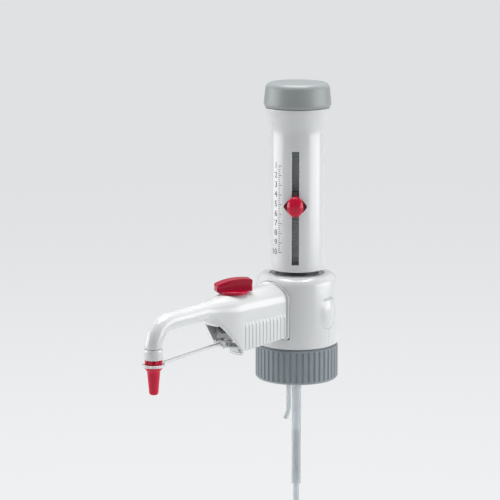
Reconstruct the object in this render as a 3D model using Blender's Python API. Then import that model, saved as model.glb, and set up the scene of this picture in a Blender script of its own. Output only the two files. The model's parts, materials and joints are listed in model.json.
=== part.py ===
"""Bottle-top dispenser: a piston pump that screws on a reagent bottle and doses through a gooseneck.

Units are metres, +Z is up. The origin is the centre of the seat for the bottle's rim, and the
dispensing arm points along -X. The volume scale looks between -X and -Y.
"""

import math

import bmesh
import bpy
from mathutils import Vector

MM = 0.001

# Clearances
FACE_GAP = 0.3 * MM
RUN_GAP = 0.35 * MM

# Facets round a circle
COARSE = 22
FINE = 36

# Bottle collar: the ribbed nut with the bottle thread
COLLAR_RADIUS = 27.0 * MM
COLLAR_SKIRT = 18.3 * MM
COLLAR_TOP = 4.5 * MM
COLLAR_LIP = 1.1 * MM
COLLAR_CHAMFER = 1.2 * MM
THREAD_BORE_RADIUS = 22.8 * MM
RIB_COUNT = 44
RIB_DEPTH = 0.7 * MM
RIB_BAND = 1.9 * MM

# Parts that close the bottle's mouth
SEAL_THICKNESS = 1.2 * MM
SEAL_BORE_RADIUS = 11.2 * MM
SPIGOT_RADIUS = 18.2 * MM
RETAINER_BORE_RADIUS = 12.6 * MM

# Valve block: the white barrel that carries everything
BLOCK_HEIGHT = 46.7 * MM
BLOCK_BELLY_RADIUS = 27.1 * MM
BLOCK_BELLY_HEIGHT = 15.0 * MM
BLOCK_BARREL = 2.0 * MM
BLOCK_FOOT_CHAMFER = 1.0 * MM
SHOULDER_RADIUS = 6.0 * MM
RING_SEAT_RADIUS = 17.6 * MM
RING_SEAT_DEPTH = 4.5 * MM
INSERT_RADIUS = 11.9 * MM

# Vent cap on the block's side
VENT_WIDTH = 15.0 * MM
VENT_HEIGHT = 21.0 * MM
VENT_CENTRE_HEIGHT = 28.0 * MM
VENT_DEPTH = 5.0 * MM
VENT_PROUD = 0.9 * MM

# Glass cylinder, piston and stroke
STROKE = 62.6 * MM
GLASS_BORE_RADIUS = 7.13 * MM
GLASS_WALL = 1.7 * MM
GLASS_RESERVE = 22.4 * MM
GLASS_SOCKET = 5.5 * MM
GUARD_WALL = 1.6 * MM
GUARD_TOP_COLLAR = 0.7 * MM
GUARD_SHORTER = 3.0 * MM
PISTON_HEAD_LENGTH = 9.0 * MM
PISTON_ROD_RADIUS = 4.6 * MM
PISTON_SEAL_WIDTH = 1.6 * MM
PISTON_FLANGE = 2.0 * MM

# Stroke sleeve: the white tube that is lifted to fill the cylinder
SLEEVE_GAP_HEIGHT = 2.6 * MM
RING_NECK_WALL = 3.0 * MM
SLEEVE_FOOT_RADIUS = 17.95 * MM
SLEEVE_NECK_RADIUS = 17.65 * MM
SLEEVE_WALL = 1.9 * MM
SLEEVE_LENGTH = 105.6 * MM
FLARE_LENGTH = 14.5 * MM
FLARE_RADIUS = 21.0 * MM
LEDGE_WIDTH = 2.3 * MM
LEDGE_HEIGHT = 2.5 * MM
CARRIER_THICKNESS = 2.8 * MM
RIM_WALL = 2.2 * MM
RIM_DEPTH = 8.0 * MM

# Calibration cap: the grey button on top
CAP_HEIGHT = 16.5 * MM
CAP_BULGE_RADIUS = 21.8 * MM
CAP_CROWN_RADIUS = 20.5 * MM
CAP_EDGE_RADIUS = 3.0 * MM
CAP_DOME = 0.9 * MM
CAP_WALL = 2.0 * MM
CAP_SPIGOT = 6.5 * MM
NUT_RADIUS = 9.0 * MM
NUT_HEIGHT = 4.0 * MM

# Volume scale: slot, rack, stop shoe, pointer and thumb screw
SCALE_ANGLE = math.radians(37.7)
SLOT_WIDTH = 4.6 * MM
SLOT_BOTTOM = 59.0 * MM
SLOT_LENGTH = 73.8 * MM
POINTER_HEIGHT = 97.6 * MM
SHOE_WIDTH = 7.0 * MM
SHOE_ABOVE = 9.4 * MM
SHOE_BELOW = 5.5 * MM
SHOE_THICKNESS = 1.0 * MM
STEM_BELOW = 4.0 * MM
RACK_WIDTH = 8.6 * MM
RACK_BACKING = 0.7 * MM
RACK_TOOTH = 0.6 * MM
RACK_PITCH = 2.4 * MM
RACK_FOOT = 3.6 * MM
POINTER_HALF_WIDTH = 7.6 * MM
POINTER_HALF_HEIGHT = 7.2 * MM
POINTER_THICKNESS = 1.0 * MM
THUMB_RADIUS = 5.7 * MM
THUMB_HEIGHT = 4.0 * MM
THUMB_SHAFT_RADIUS = 1.4 * MM

# Dispensing arm: distances along the arm are from the block's axis
ARM_REAR = 20.8 * MM
ARM_FLANGE = 2.6 * MM
ARM_FLANGE_PROUD = 1.4 * MM
HOOD_REAR_HALF_WIDTH = 12.6 * MM
HOOD_FRONT_HALF_WIDTH = 12.3 * MM
HOOD_BOTTOM = 10.6 * MM
HOOD_RISE = 2.6 * MM
HOOD_TOP = 47.2 * MM
HOOD_ROUND = 10.6 * MM
HOOD_EDGE = 0.8 * MM
HOOD_WALL = 2.0 * MM
ARCH_START = 65.0 * MM
ARCH_END = 91.0 * MM
ROOT_RADIUS = 6.0 * MM
ROOT_HEIGHT = 38.3 * MM
NECK_RADIUS = 5.6 * MM
NECK_HEIGHT = 37.3 * MM
NECK_REACH = 133.0 * MM
NECK_BEND = 14.8 * MM
NECK_END_HEIGHT = 22.5 * MM
NECK_BORE_RADIUS = 2.4 * MM
GRIP_RIBS = 12
GRIP_PITCH = 3.3 * MM
GRIP_START = 26.0 * MM
GRIP_HEIGHT = 18.4 * MM
GRIP_RADIUS = 0.75 * MM
NOZZLE_RADIUS = 5.9 * MM
NOZZLE_LENGTH = 6.8 * MM
TIP_RADIUS = 1.6 * MM
TIP_WALL = 0.6 * MM
TIP_BELOW_NOZZLE = 10.0 * MM

# Recirculation valve inside the hood, and its lever on top
LEVER_REACH = 61.0 * MM
LEVER_SEAT_HEIGHT = 46.2 * MM
LEVER_SEAT_RADIUS = 14.2 * MM
LEVER_DISC_RADIUS = 9.6 * MM
LEVER_DISC_HEIGHT = 2.0 * MM
LEVER_HALF_LENGTH = 11.8 * MM
LEVER_WIDTH = 10.4 * MM
LEVER_TAIL_HEIGHT = 9.3 * MM
LEVER_NOSE_HEIGHT = 6.4 * MM
LEVER_CROWN = 0.8 * MM
LEVER_TURN = math.radians(30)
LEVER_STEM_RADIUS = 2.8 * MM
LEVER_STEM_LENGTH = 7.0 * MM
PLUG_RADIUS = 5.0 * MM
PLUG_LENGTH = 20.0 * MM
PORT_RADIUS = 2.0 * MM
CHAMBER_HALF_LENGTH = 8.4 * MM
CHAMBER_HALF_WIDTH = 6.8 * MM
CHAMBER_TOP = 42.0 * MM
INLET_HEIGHT = 33.0 * MM
INLET_RADIUS = 4.5 * MM
RETURN_HEIGHT = 22.0 * MM
RETURN_RADIUS = 3.0 * MM
PIPE_INSERTION = 2.5 * MM
DISCHARGE_SEAT = 33.0 * MM
DISCHARGE_CHAMBER_RADIUS = 2.8 * MM
DISCHARGE_CHAMBER_LENGTH = 9.0 * MM
DISCHARGE_BALL_RADIUS = 1.9 * MM
DISCHARGE_TRAVEL = 0.8 * MM
SPRING_RADIUS = 1.7 * MM
SPRING_WIRE_RADIUS = 0.2 * MM
SPRING_TURNS = 3
SPRING_LENGTH = 3.0 * MM

# Lock that holds the arm on the block
LOCK_THICKNESS = 2.6 * MM
LOCK_HALF_WIDTH = 9.0 * MM
LOCK_TOP = 36.0 * MM
LOCK_TAB = 0.3 * MM
LOCK_TRAVEL = 5.0 * MM

# Nozzle cap and the tether that keeps it
CAP_MOUTH_RADIUS = 5.5 * MM
CAP_CONE_RADIUS = 4.1 * MM
CAP_POINT_RADIUS = 2.8 * MM
CAP_LENGTH = 22.0 * MM
CAP_RIM = 5.2 * MM
CAP_FLARE = 2.2 * MM
CAP_FUNNEL = 3.0 * MM
CAP_TIP_ROUND = 1.6 * MM
CAP_FLOOR = 10.0 * MM
CAP_BORE_RADIUS = 4.0 * MM
TETHER_RING_RADIUS = 7.4 * MM
TETHER_RING_HEIGHT = 1.6 * MM
TETHER_RING_DROP = 2.6 * MM
TETHER_ROD_RADIUS = 1.15 * MM
PIVOT_REACH = 72.0 * MM
PIVOT_HEIGHT = 15.5 * MM
EYE_RADIUS = 2.3 * MM
EYE_HALF_WIDTH = 2.2 * MM
PIN_RADIUS = 1.0 * MM
EAR_THICKNESS = 1.8 * MM
BRACKET_REAR = 60.5 * MM
BRACKET_FRONT = 69.6 * MM
BRACKET_LIFT = 2.1 * MM
BRACKET_THICKNESS = 1.6 * MM
TONGUE_REAR = 63.9 * MM
TONGUE_FRONT = 67.0 * MM
TONGUE_INNER = 1.5 * MM
TONGUE_THICKNESS = 1.9 * MM

# Filling valve and the tubes that hang in the bottle
VALVE_FLANGE_RADIUS = 6.2 * MM
VALVE_FLANGE_DROP = 2.6 * MM
VALVE_THREAD_RADIUS = 5.0 * MM
VALVE_THREAD_LENGTH = 8.0 * MM
VALVE_BORE_RADIUS = 1.3 * MM
VALVE_CHAMBER_RADIUS = 2.7 * MM
VALVE_BALL_RADIUS = 2.1 * MM
BALL_GAP = 0.1 * MM
OLIVE_RADIUS = 2.1 * MM
OLIVE_LENGTH = 14.0 * MM
FILL_TUBE_RADIUS = 3.15 * MM
FILL_TUBE_WALL = 0.7 * MM
FILL_TUBE_LENGTH = 88.0 * MM
LOWER_TUBE_WALL = 0.6 * MM
LOWER_TUBE_LENGTH = 84.0 * MM
LOWER_TUBE_SHOWN = 48.0 * MM
LOWER_TUBE_MITRE = 3.0 * MM
RETURN_TUBE_REACH = 7.8 * MM
RETURN_TUBE_RADIUS = 1.55 * MM
RETURN_TUBE_WALL = 0.5 * MM
RETURN_TUBE_END = 45.0 * MM
RETURN_TUBE_KICK = 3.0 * MM

# Places that follow from the sizes above
RETAINER_TOP = COLLAR_TOP - COLLAR_LIP - FACE_GAP
BLOCK_BOTTOM = COLLAR_TOP + RUN_GAP
BLOCK_TOP = BLOCK_BOTTOM + BLOCK_HEIGHT
RING_SEAT = BLOCK_TOP - RING_SEAT_DEPTH
INSERT_BOTTOM = RETAINER_TOP + FACE_GAP
GLASS_BOTTOM = RING_SEAT - GLASS_SOCKET
GLASS_LENGTH = STROKE + GLASS_RESERVE
GUARD_LENGTH = GLASS_LENGTH - GUARD_SHORTER
GLASS_RADIUS = GLASS_BORE_RADIUS + GLASS_WALL
GUARD_BORE_RADIUS = GLASS_RADIUS + RUN_GAP
GUARD_RADIUS = GUARD_BORE_RADIUS + GUARD_WALL
SLEEVE_BOTTOM = BLOCK_TOP + SLEEVE_GAP_HEIGHT
SLEEVE_TOP = SLEEVE_BOTTOM + SLEEVE_LENGTH
SLEEVE_BORE_RADIUS = SLEEVE_NECK_RADIUS - SLEEVE_WALL
FLARE_BOTTOM = SLEEVE_TOP - FLARE_LENGTH
CARRIER_BOTTOM = FLARE_BOTTOM + FACE_GAP
CARRIER_TOP = CARRIER_BOTTOM + CARRIER_THICKNESS
RIM_BORE_RADIUS = FLARE_RADIUS - RIM_WALL
CAP_BOTTOM = SLEEVE_TOP + FACE_GAP
SCALE_AZIMUTH = math.pi + SCALE_ANGLE
SLOT_TOP = SLOT_BOTTOM + SLOT_LENGTH
RACK_TIP_RADIUS = GUARD_RADIUS + GUARD_TOP_COLLAR + RUN_GAP + RACK_BACKING + RACK_TOOTH
SHOE_BACK = RACK_TIP_RADIUS + FACE_GAP
SHOE_FRONT = SHOE_BACK + SHOE_THICKNESS
STEM_FRONT = SLEEVE_FOOT_RADIUS + FACE_GAP
POINTER_BACK = STEM_FRONT + FACE_GAP
THUMB_BACK = POINTER_BACK + POINTER_THICKNESS + FACE_GAP
LOCK_REACH = BLOCK_BELLY_RADIUS + RUN_GAP
BEND_REACH = NECK_REACH - NECK_BEND
BEND_HEIGHT = NECK_HEIGHT - NECK_BEND
NOZZLE_TOP = NECK_END_HEIGHT - FACE_GAP
NOZZLE_BOTTOM = NOZZLE_TOP - NOZZLE_LENGTH
NOZZLE_CAP_TOP = NOZZLE_BOTTOM - FACE_GAP
TETHER_RING_TOP = NOZZLE_CAP_TOP - TETHER_RING_DROP
BALL_REST = math.sqrt(2) * (VALVE_BALL_RADIUS + BALL_GAP)
OLIVE_BOTTOM = -VALVE_FLANGE_DROP - OLIVE_LENGTH
FILL_TUBE_TOP = -VALVE_FLANGE_DROP - FACE_GAP
FILL_TUBE_BOTTOM = FILL_TUBE_TOP - FILL_TUBE_LENGTH
LOWER_TUBE_BOTTOM = FILL_TUBE_BOTTOM - LOWER_TUBE_SHOWN


# Modelling helpers


def new_object(name, bm, material=None, smooth_angle=35.0):
    """A named mesh object from a bmesh, smooth except across sharp edges."""
    mesh = bpy.data.meshes.new(name)
    bmesh.ops.recalc_face_normals(bm, faces=bm.faces)
    bm.to_mesh(mesh)
    bm.free()
    mesh.shade_smooth()
    mesh.set_sharp_from_angle(angle=math.radians(smooth_angle))
    obj = bpy.data.objects.new(name, mesh)
    bpy.context.scene.collection.objects.link(obj)
    if material:
        mesh.materials.append(material)
    return obj


def spun(name, outline, material=None, sides=FINE):
    """A closed outline of (radius, height) points spun once about the local Z axis."""
    bm = bmesh.new()
    verts = [bm.verts.new((radius, 0.0, height)) for radius, height in outline]
    edges = [bm.edges.new((a, b)) for a, b in zip(verts, verts[1:] + verts[:1])]
    bmesh.ops.spin(bm, geom=verts + edges, cent=(0, 0, 0), axis=(0, 0, 1),
                   angle=2 * math.pi, steps=sides, use_merge=True)
    bmesh.ops.remove_doubles(bm, verts=bm.verts, dist=1e-7)
    bmesh.ops.dissolve_degenerate(bm, edges=bm.edges, dist=1e-7)
    on_axis = [e for e in bm.edges if all(v.co.xy.length < 1e-7 for v in e.verts)]
    bmesh.ops.delete(bm, geom=on_axis, context="EDGES")
    flat_poles = [v for v in bm.verts if v.co.xy.length < 1e-7
                  and all(abs(other.co.z - v.co.z) < 1e-7 for e in v.link_edges for other in e.verts)]
    bmesh.ops.dissolve_verts(bm, verts=flat_poles)
    return new_object(name, bm, material)


def ring(name, inner, outer, bottom, top, material=None, sides=FINE):
    """A plain turned ring."""
    return spun(name, [(outer, top), (outer, bottom), (inner, bottom), (inner, top)], material, sides)


def rod(name, radius, bottom, top, material=None, sides=COARSE):
    """A plain turned rod."""
    return spun(name, [(0, top), (radius, top), (radius, bottom), (0, bottom)], material, sides)


def ball(name, radius, centre, material):
    bm = bmesh.new()
    bmesh.ops.create_uvsphere(bm, u_segments=16, v_segments=10, radius=radius)
    obj = new_object(name, bm, material, smooth_angle=60)
    obj.location = centre
    return obj


def extruded(name, outline, low, high, axis, material=None):
    """An outline extruded along X, Y or Z. The outline's two numbers are the other two axes, in order."""
    others = [k for k in range(3) if k != axis]

    def corner(point, level):
        place = [0.0, 0.0, 0.0]
        place[axis] = level
        place[others[0]], place[others[1]] = point
        return place

    bm = bmesh.new()
    face = bm.faces.new([bm.verts.new(corner(point, low)) for point in outline])
    moved = bmesh.ops.extrude_face_region(bm, geom=[face])["geom"]
    shift = Vector(corner((0, 0), high - low))
    bmesh.ops.translate(bm, vec=shift, verts=[g for g in moved if isinstance(g, bmesh.types.BMVert)])
    return new_object(name, bm, material)


def block(name, low, high, material=None):
    """A box between two corners."""
    outline = [(low[0], low[1]), (high[0], low[1]), (high[0], high[1]), (low[0], high[1])]
    return extruded(name, outline, low[2], high[2], 2, material)


def lofted(name, rings, material=None, closed=False):
    """A skin over rings of equally many points: capped at both ends, or joined end to end if closed."""
    bm = bmesh.new()
    loops = [[bm.verts.new(point) for point in points] for points in rings]
    pairs = list(zip(loops, loops[1:] + loops[:1] if closed else loops[1:]))
    for lower, upper in pairs:
        for k in range(len(lower)):
            after = (k + 1) % len(lower)
            bm.faces.new((lower[k], lower[after], upper[after], upper[k]))
    if not closed:
        bm.faces.new(loops[0])
        bm.faces.new(loops[-1])
    return new_object(name, bm, material)


def arc(centre, radius, start, end, steps):
    """Points along a circular arc, angles in degrees."""
    angles = [math.radians(start + (end - start) * k / steps) for k in range(steps + 1)]
    return [(centre[0] + radius * math.cos(a), centre[1] + radius * math.sin(a)) for a in angles]


def bevel(obj, width, segments=2, angle=40.0):
    modifier = obj.modifiers.new("bevel", "BEVEL")
    modifier.width = width
    modifier.segments = segments
    modifier.limit_method = "ANGLE"
    modifier.angle_limit = math.radians(angle)
    return obj


def combine(target, operation, others):
    for other in others:
        modifier = target.modifiers.new(operation.lower(), "BOOLEAN")
        modifier.operation = operation
        modifier.solver = "EXACT"
        modifier.object = other
        other.hide_render = True
        other.display_type = "WIRE"
    return target


def cut(target, *cutters):
    return combine(target, "DIFFERENCE", cutters)


def join(target, *additions):
    return combine(target, "UNION", additions)


def along_arm(obj, height):
    """Lays a piece that was spun about Z along the arm, its top end outwards, at a height."""
    obj.rotation_euler = (0, -math.pi / 2, 0)
    obj.location = (0, 0, height)
    return obj


def on_scale(obj):
    """Turns a piece that was made facing +X to face along the volume scale."""
    obj.rotation_euler = (0, 0, SCALE_AZIMUTH)
    return obj


def material(name, colour, roughness, metallic=0.0, alpha=1.0):
    made = bpy.data.materials.new(name)
    made.use_nodes = True
    shader = made.node_tree.nodes["Principled BSDF"]
    shader.inputs["Base Color"].default_value = (*colour, 1.0)
    shader.inputs["Roughness"].default_value = roughness
    shader.inputs["Metallic"].default_value = metallic
    shader.inputs["Alpha"].default_value = alpha
    return made


for old in list(bpy.data.objects):
    bpy.data.objects.remove(old)

WHITE = material("white_plastic", (0.82, 0.83, 0.83), 0.25)
GREY = material("grey_plastic", (0.36, 0.40, 0.42), 0.4)
DARK = material("dark_plastic", (0.05, 0.055, 0.06), 0.5)
RED = material("red_plastic", (0.62, 0.01, 0.06), 0.25)
CLEAR = material("clear_tube", (0.85, 0.88, 0.9), 0.15, alpha=0.4)
GLASS = material("glass", (0.9, 0.95, 0.95), 0.05, alpha=0.35)
FLUORO = material("fluoropolymer", (0.88, 0.88, 0.86), 0.45)
STEEL = material("spring_metal", (0.7, 0.7, 0.72), 0.25, metallic=1.0)


# Bottle collar and the parts at the bottle's mouth


def bottle_collar():
    """Ribbed nut: a fluted drum with a thread bore below and an inward lip that hangs on the block."""
    def fluted(height, radius, depth):
        points = []
        for k in range(RIB_COUNT * 4):
            angle = 2 * math.pi * k / (RIB_COUNT * 4)
            r = radius - (depth if k % 4 in (2, 3) else 0.0)
            points.append((r * math.cos(angle), r * math.sin(angle), height))
        return points

    low, high = -COLLAR_SKIRT, COLLAR_TOP
    valley = COLLAR_RADIUS - RIB_DEPTH
    rings = [
        fluted(low, COLLAR_RADIUS - COLLAR_CHAMFER, 0),
        fluted(low + COLLAR_CHAMFER, COLLAR_RADIUS, 0),
        fluted(low + RIB_BAND, COLLAR_RADIUS, 0),
        fluted(low + RIB_BAND + RIB_DEPTH, COLLAR_RADIUS, RIB_DEPTH),
        fluted(high - RIB_DEPTH, COLLAR_RADIUS - RIB_DEPTH / 2, RIB_DEPTH / 2),
        fluted(high, valley - RIB_DEPTH, 0),
    ]
    drum = lofted("bottle_collar", rings, GREY)
    lip_bottom = COLLAR_TOP - COLLAR_LIP
    lip_radius = SPIGOT_RADIUS + RUN_GAP
    clear = 2 * MM
    hollow = [(0, high + clear), (lip_radius, high + clear), (lip_radius, lip_bottom),
              (THREAD_BORE_RADIUS, lip_bottom), (THREAD_BORE_RADIUS, low + COLLAR_CHAMFER),
              (THREAD_BORE_RADIUS + COLLAR_CHAMFER, low), (THREAD_BORE_RADIUS + COLLAR_CHAMFER, low - clear),
              (0, low - clear)]
    return cut(drum, spun("collar_bore", hollow))


def mouth_parts():
    """The washer that the bottle's rim presses on, and the ring that keeps the collar on the block."""
    outer = THREAD_BORE_RADIUS - RUN_GAP
    ring("neck_seal", SEAL_BORE_RADIUS, outer, 0, SEAL_THICKNESS, FLUORO)
    ring("collar_retaining_ring", RETAINER_BORE_RADIUS, outer,
         SEAL_THICKNESS + FACE_GAP, RETAINER_TOP, WHITE)


# Valve block


def block_radius(height):
    """The barrel's radius at a height above the block's foot."""
    share = (height - BLOCK_BELLY_HEIGHT) / BLOCK_HEIGHT
    return BLOCK_BELLY_RADIUS - BLOCK_BARREL * share * share


def valve_block():
    """Barrel with a round shoulder, a seat for the safety ring and a flat pocket for the arm."""
    side_end = BLOCK_HEIGHT - SHOULDER_RADIUS
    steps = 4
    heights = [BLOCK_FOOT_CHAMFER + (side_end - BLOCK_FOOT_CHAMFER) * k / steps for k in range(steps + 1)]
    side = [(block_radius(h), BLOCK_BOTTOM + h) for h in heights]
    shoulder = arc((block_radius(side_end) - SHOULDER_RADIUS, BLOCK_TOP - SHOULDER_RADIUS),
                   SHOULDER_RADIUS, 0, 90, 5)[1:]
    bore = INSERT_RADIUS + FACE_GAP
    lip = 0.6 * MM
    outline = [(bore, INSERT_BOTTOM), (SPIGOT_RADIUS, INSERT_BOTTOM), (SPIGOT_RADIUS, BLOCK_BOTTOM),
               (side[0][0] - BLOCK_FOOT_CHAMFER, BLOCK_BOTTOM), *side, *shoulder,
               (RING_SEAT_RADIUS + lip, BLOCK_TOP), (RING_SEAT_RADIUS, BLOCK_TOP - lip),
               (RING_SEAT_RADIUS, RING_SEAT), (bore, RING_SEAT)]
    shell = spun("valve_block", outline[::-1], WHITE)
    half = HOOD_REAR_HALF_WIDTH + ARM_FLANGE_PROUD + FACE_GAP
    flat = ARM_REAR - FACE_GAP
    far = BLOCK_BELLY_RADIUS + 2 * MM
    grow = ARM_FLANGE_PROUD + FACE_GAP
    low = HOOD_BOTTOM + HOOD_RISE - grow
    section = rounded_section(half, HOOD_TOP + grow, low, HOOD_ROUND + grow, HOOD_EDGE)
    ends = [[(-reach, across, height) for across, height in section] for reach in (flat, far)]
    pocket = lofted("arm_pocket", ends)
    reach = INSERT_RADIUS - MM
    inlet = along_arm(rod("inlet_way", INLET_RADIUS + FACE_GAP, reach, far), INLET_HEIGHT)
    back = along_arm(rod("return_way", RETURN_RADIUS + FACE_GAP, reach, far), RETURN_HEIGHT)
    return cut(shell, pocket, inlet, back, vent_body("vent_pocket", FACE_GAP, 5 * MM))


def vent_body(name, grow, proud, given=None):
    """An upright stadium on the block's -Y side, deep enough to plug into it."""
    half = VENT_WIDTH / 2 + grow
    straight = (VENT_HEIGHT - VENT_WIDTH) / 2
    top = arc((0, VENT_CENTRE_HEIGHT + straight), half, 0, 180, 10)
    bottom = arc((0, VENT_CENTRE_HEIGHT - straight), half, 180, 360, 10)
    face = block_radius(VENT_CENTRE_HEIGHT - BLOCK_BOTTOM)
    return extruded(name, top + bottom, -face - proud, -face + VENT_DEPTH + grow, 1, given)


def vent_cap():
    return bevel(vent_body("vent_cap", 0.0, VENT_PROUD, WHITE), 0.7 * MM, 3)


def valve_insert():
    """Chemically resistant core that seats the glass, the filling valve and the arm's two pipes."""
    socket = VALVE_THREAD_RADIUS + FACE_GAP
    socket_top = INSERT_BOTTOM + VALVE_THREAD_LENGTH + FACE_GAP
    cup = GLASS_RADIUS + FACE_GAP
    cup_floor = GLASS_BOTTOM - FACE_GAP
    top = RING_SEAT - FACE_GAP
    outline = [(PORT_RADIUS, socket_top), (socket, socket_top), (socket, INSERT_BOTTOM),
               (INSERT_RADIUS, INSERT_BOTTOM), (INSERT_RADIUS, top), (cup, top), (cup, cup_floor),
               (PORT_RADIUS, cup_floor)]
    core = spun("valve_insert", outline[::-1], FLUORO, COARSE)
    seat = INSERT_RADIUS - PIPE_INSERTION - FACE_GAP
    out = INSERT_RADIUS + 2 * MM
    inlet = along_arm(rod("insert_inlet", INLET_RADIUS + FACE_GAP, seat, out), INLET_HEIGHT)
    inlet_port = along_arm(rod("insert_inlet_port", PORT_RADIUS, 0, out), INLET_HEIGHT)
    back = along_arm(rod("insert_return", RETURN_RADIUS + FACE_GAP, seat, out), RETURN_HEIGHT)
    drop = rod("insert_return_drop", RETURN_TUBE_RADIUS + FACE_GAP, INSERT_BOTTOM - 2 * MM, RETURN_HEIGHT)
    drop.location = (-RETURN_TUBE_REACH, 0, 0)
    return cut(core, inlet, inlet_port, back, drop)


# Glass cylinder and piston


def cylinder_parts():
    ring("glass_cylinder", GLASS_BORE_RADIUS, GLASS_RADIUS, GLASS_BOTTOM, GLASS_BOTTOM + GLASS_LENGTH,
         GLASS, COARSE)
    top = RING_SEAT + GUARD_LENGTH
    neck = top - 4 * MM
    wide = GUARD_RADIUS + GUARD_TOP_COLLAR
    foot = RING_SEAT + FACE_GAP
    spun("cylinder_guard", [(GUARD_BORE_RADIUS, top), (wide, top), (wide, neck), (GUARD_RADIUS, neck - MM),
                            (GUARD_RADIUS, foot), (GUARD_BORE_RADIUS, foot)], WHITE, COARSE)
    outer = RING_SEAT_RADIUS - FACE_GAP
    crown = BLOCK_TOP + SLEEVE_GAP_HEIGHT - 2 * FACE_GAP
    inner = GUARD_RADIUS + FACE_GAP
    step = inner + RING_NECK_WALL
    spun("safety_ring", [(inner, crown), (step, crown), (step, BLOCK_TOP), (outer, BLOCK_TOP - MM),
                         (outer, foot), (inner, foot)], DARK)


def piston_parts():
    """Piston with two grooves, its two seals, the carrier that ties it to the sleeve, and the nut on top."""
    head = GLASS_BORE_RADIUS - RUN_GAP
    groove = head - 1.2 * MM
    bottom = GLASS_BOTTOM + FACE_GAP
    head_top = bottom + PISTON_HEAD_LENGTH
    land = (PISTON_HEAD_LENGTH - 2 * PISTON_SEAL_WIDTH) / 3
    flange_bottom = CARRIER_TOP + FACE_GAP
    flange_top = flange_bottom + PISTON_FLANGE
    flange = PISTON_ROD_RADIUS + 3 * MM
    grooves = []
    for k in range(2):
        low = bottom + land * (k + 1) + PISTON_SEAL_WIDTH * k
        high = low + PISTON_SEAL_WIDTH
        grooves += [(head, low), (groove, low), (groove, high), (head, high)]
        ring(f"piston_seal_{('lower', 'upper')[k]}", groove + 0.1 * MM, GLASS_BORE_RADIUS - 0.15 * MM,
             low + 0.1 * MM, high - 0.1 * MM, FLUORO, COARSE)
    spun("piston", [(0, bottom), (head - MM, bottom), (head, bottom + MM), *grooves, (head, head_top),
                    (PISTON_ROD_RADIUS, head_top + MM), (PISTON_ROD_RADIUS, flange_bottom),
                    (flange, flange_bottom), (flange, flange_top), (0, flange_top)][::-1], FLUORO, COARSE)
    hole = PISTON_ROD_RADIUS + RUN_GAP
    ring("piston_carrier", hole, sleeve_rim_bore(CARRIER_TOP) - RUN_GAP, CARRIER_BOTTOM, CARRIER_TOP, WHITE)
    nut_bottom = flange_top + FACE_GAP
    rod("calibration_nut", NUT_RADIUS, nut_bottom, nut_bottom + NUT_HEIGHT, DARK, sides=6)


# Stroke sleeve and cap


def sleeve_rim_bore(height):
    """Inner radius of the sleeve's flare at a height: one wall inside the outer cone."""
    share = max(0.0, (height - FLARE_BOTTOM) / FLARE_LENGTH)
    return SLEEVE_NECK_RADIUS + share * (FLARE_RADIUS - SLEEVE_NECK_RADIUS) - RIM_WALL


def stroke_sleeve():
    ledge_top = FLARE_BOTTOM
    ledge_bottom = ledge_top - LEDGE_HEIGHT
    ledge = SLEEVE_BORE_RADIUS - LEDGE_WIDTH
    rim_floor = SLEEVE_TOP - RIM_DEPTH
    fillet = 2.5 * MM
    flare_step = FLARE_LENGTH / 4
    outline = [(SLEEVE_FOOT_RADIUS - 0.5 * MM, SLEEVE_BOTTOM), (SLEEVE_FOOT_RADIUS, SLEEVE_BOTTOM + 0.5 * MM),
               (SLEEVE_NECK_RADIUS, FLARE_BOTTOM - fillet),
               (SLEEVE_NECK_RADIUS + 0.25 * MM, FLARE_BOTTOM),
               (SLEEVE_NECK_RADIUS + 0.9 * MM, FLARE_BOTTOM + flare_step),
               (FLARE_RADIUS - 0.3 * MM, SLEEVE_TOP - 1.2 * MM), (FLARE_RADIUS, SLEEVE_TOP),
               (RIM_BORE_RADIUS, SLEEVE_TOP), (sleeve_rim_bore(rim_floor), rim_floor),
               (sleeve_rim_bore(CARRIER_TOP), CARRIER_TOP),
               (sleeve_rim_bore(CARRIER_TOP), ledge_top), (ledge, ledge_top), (ledge, ledge_bottom),
               (SLEEVE_BORE_RADIUS, ledge_bottom - LEDGE_WIDTH), (SLEEVE_BORE_RADIUS, SLEEVE_BOTTOM)]
    sleeve = spun("stroke_sleeve", outline, WHITE)
    half = SLOT_WIDTH / 2
    deep = SLEEVE_BORE_RADIUS - 3 * MM
    far = SLEEVE_FOOT_RADIUS + 3 * MM
    slot = on_scale(block("scale_slot", (deep, -half, SLOT_BOTTOM), (far, half, SLOT_TOP)))
    return cut(sleeve, slot)


def calibration_cap():
    """Grey button: a bulged wall, a rounded rim and a low dome, with a spigot that plugs into the sleeve."""
    top = CAP_BOTTOM + CAP_HEIGHT
    edge_height = top - CAP_DOME - CAP_EDGE_RADIUS
    edge = arc((CAP_CROWN_RADIUS - CAP_EDGE_RADIUS, edge_height), CAP_EDGE_RADIUS, 10, 84, 5)
    dome_radius = edge[-1][0]
    dome = [(dome_radius * x, top - (top - edge[-1][1]) * x * x) for x in (0.66, 0.33, 0.0)]
    spigot = sleeve_rim_bore(SLEEVE_TOP - RIM_DEPTH) - RUN_GAP
    inner = spigot - CAP_WALL
    low = SLEEVE_TOP - CAP_SPIGOT
    roof = top - CAP_DOME - CAP_WALL
    outline = [(spigot, low), (spigot, CAP_BOTTOM), (FLARE_RADIUS, CAP_BOTTOM),
               (CAP_BULGE_RADIUS, CAP_BOTTOM + 1.6 * MM),
               (CAP_BULGE_RADIUS - 0.1 * MM, CAP_BOTTOM + 4.5 * MM),
               *edge, *dome, (0.0, roof), (inner, roof), (inner, low)]
    return spun("calibration_cap", outline, GREY)


# Volume scale


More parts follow.
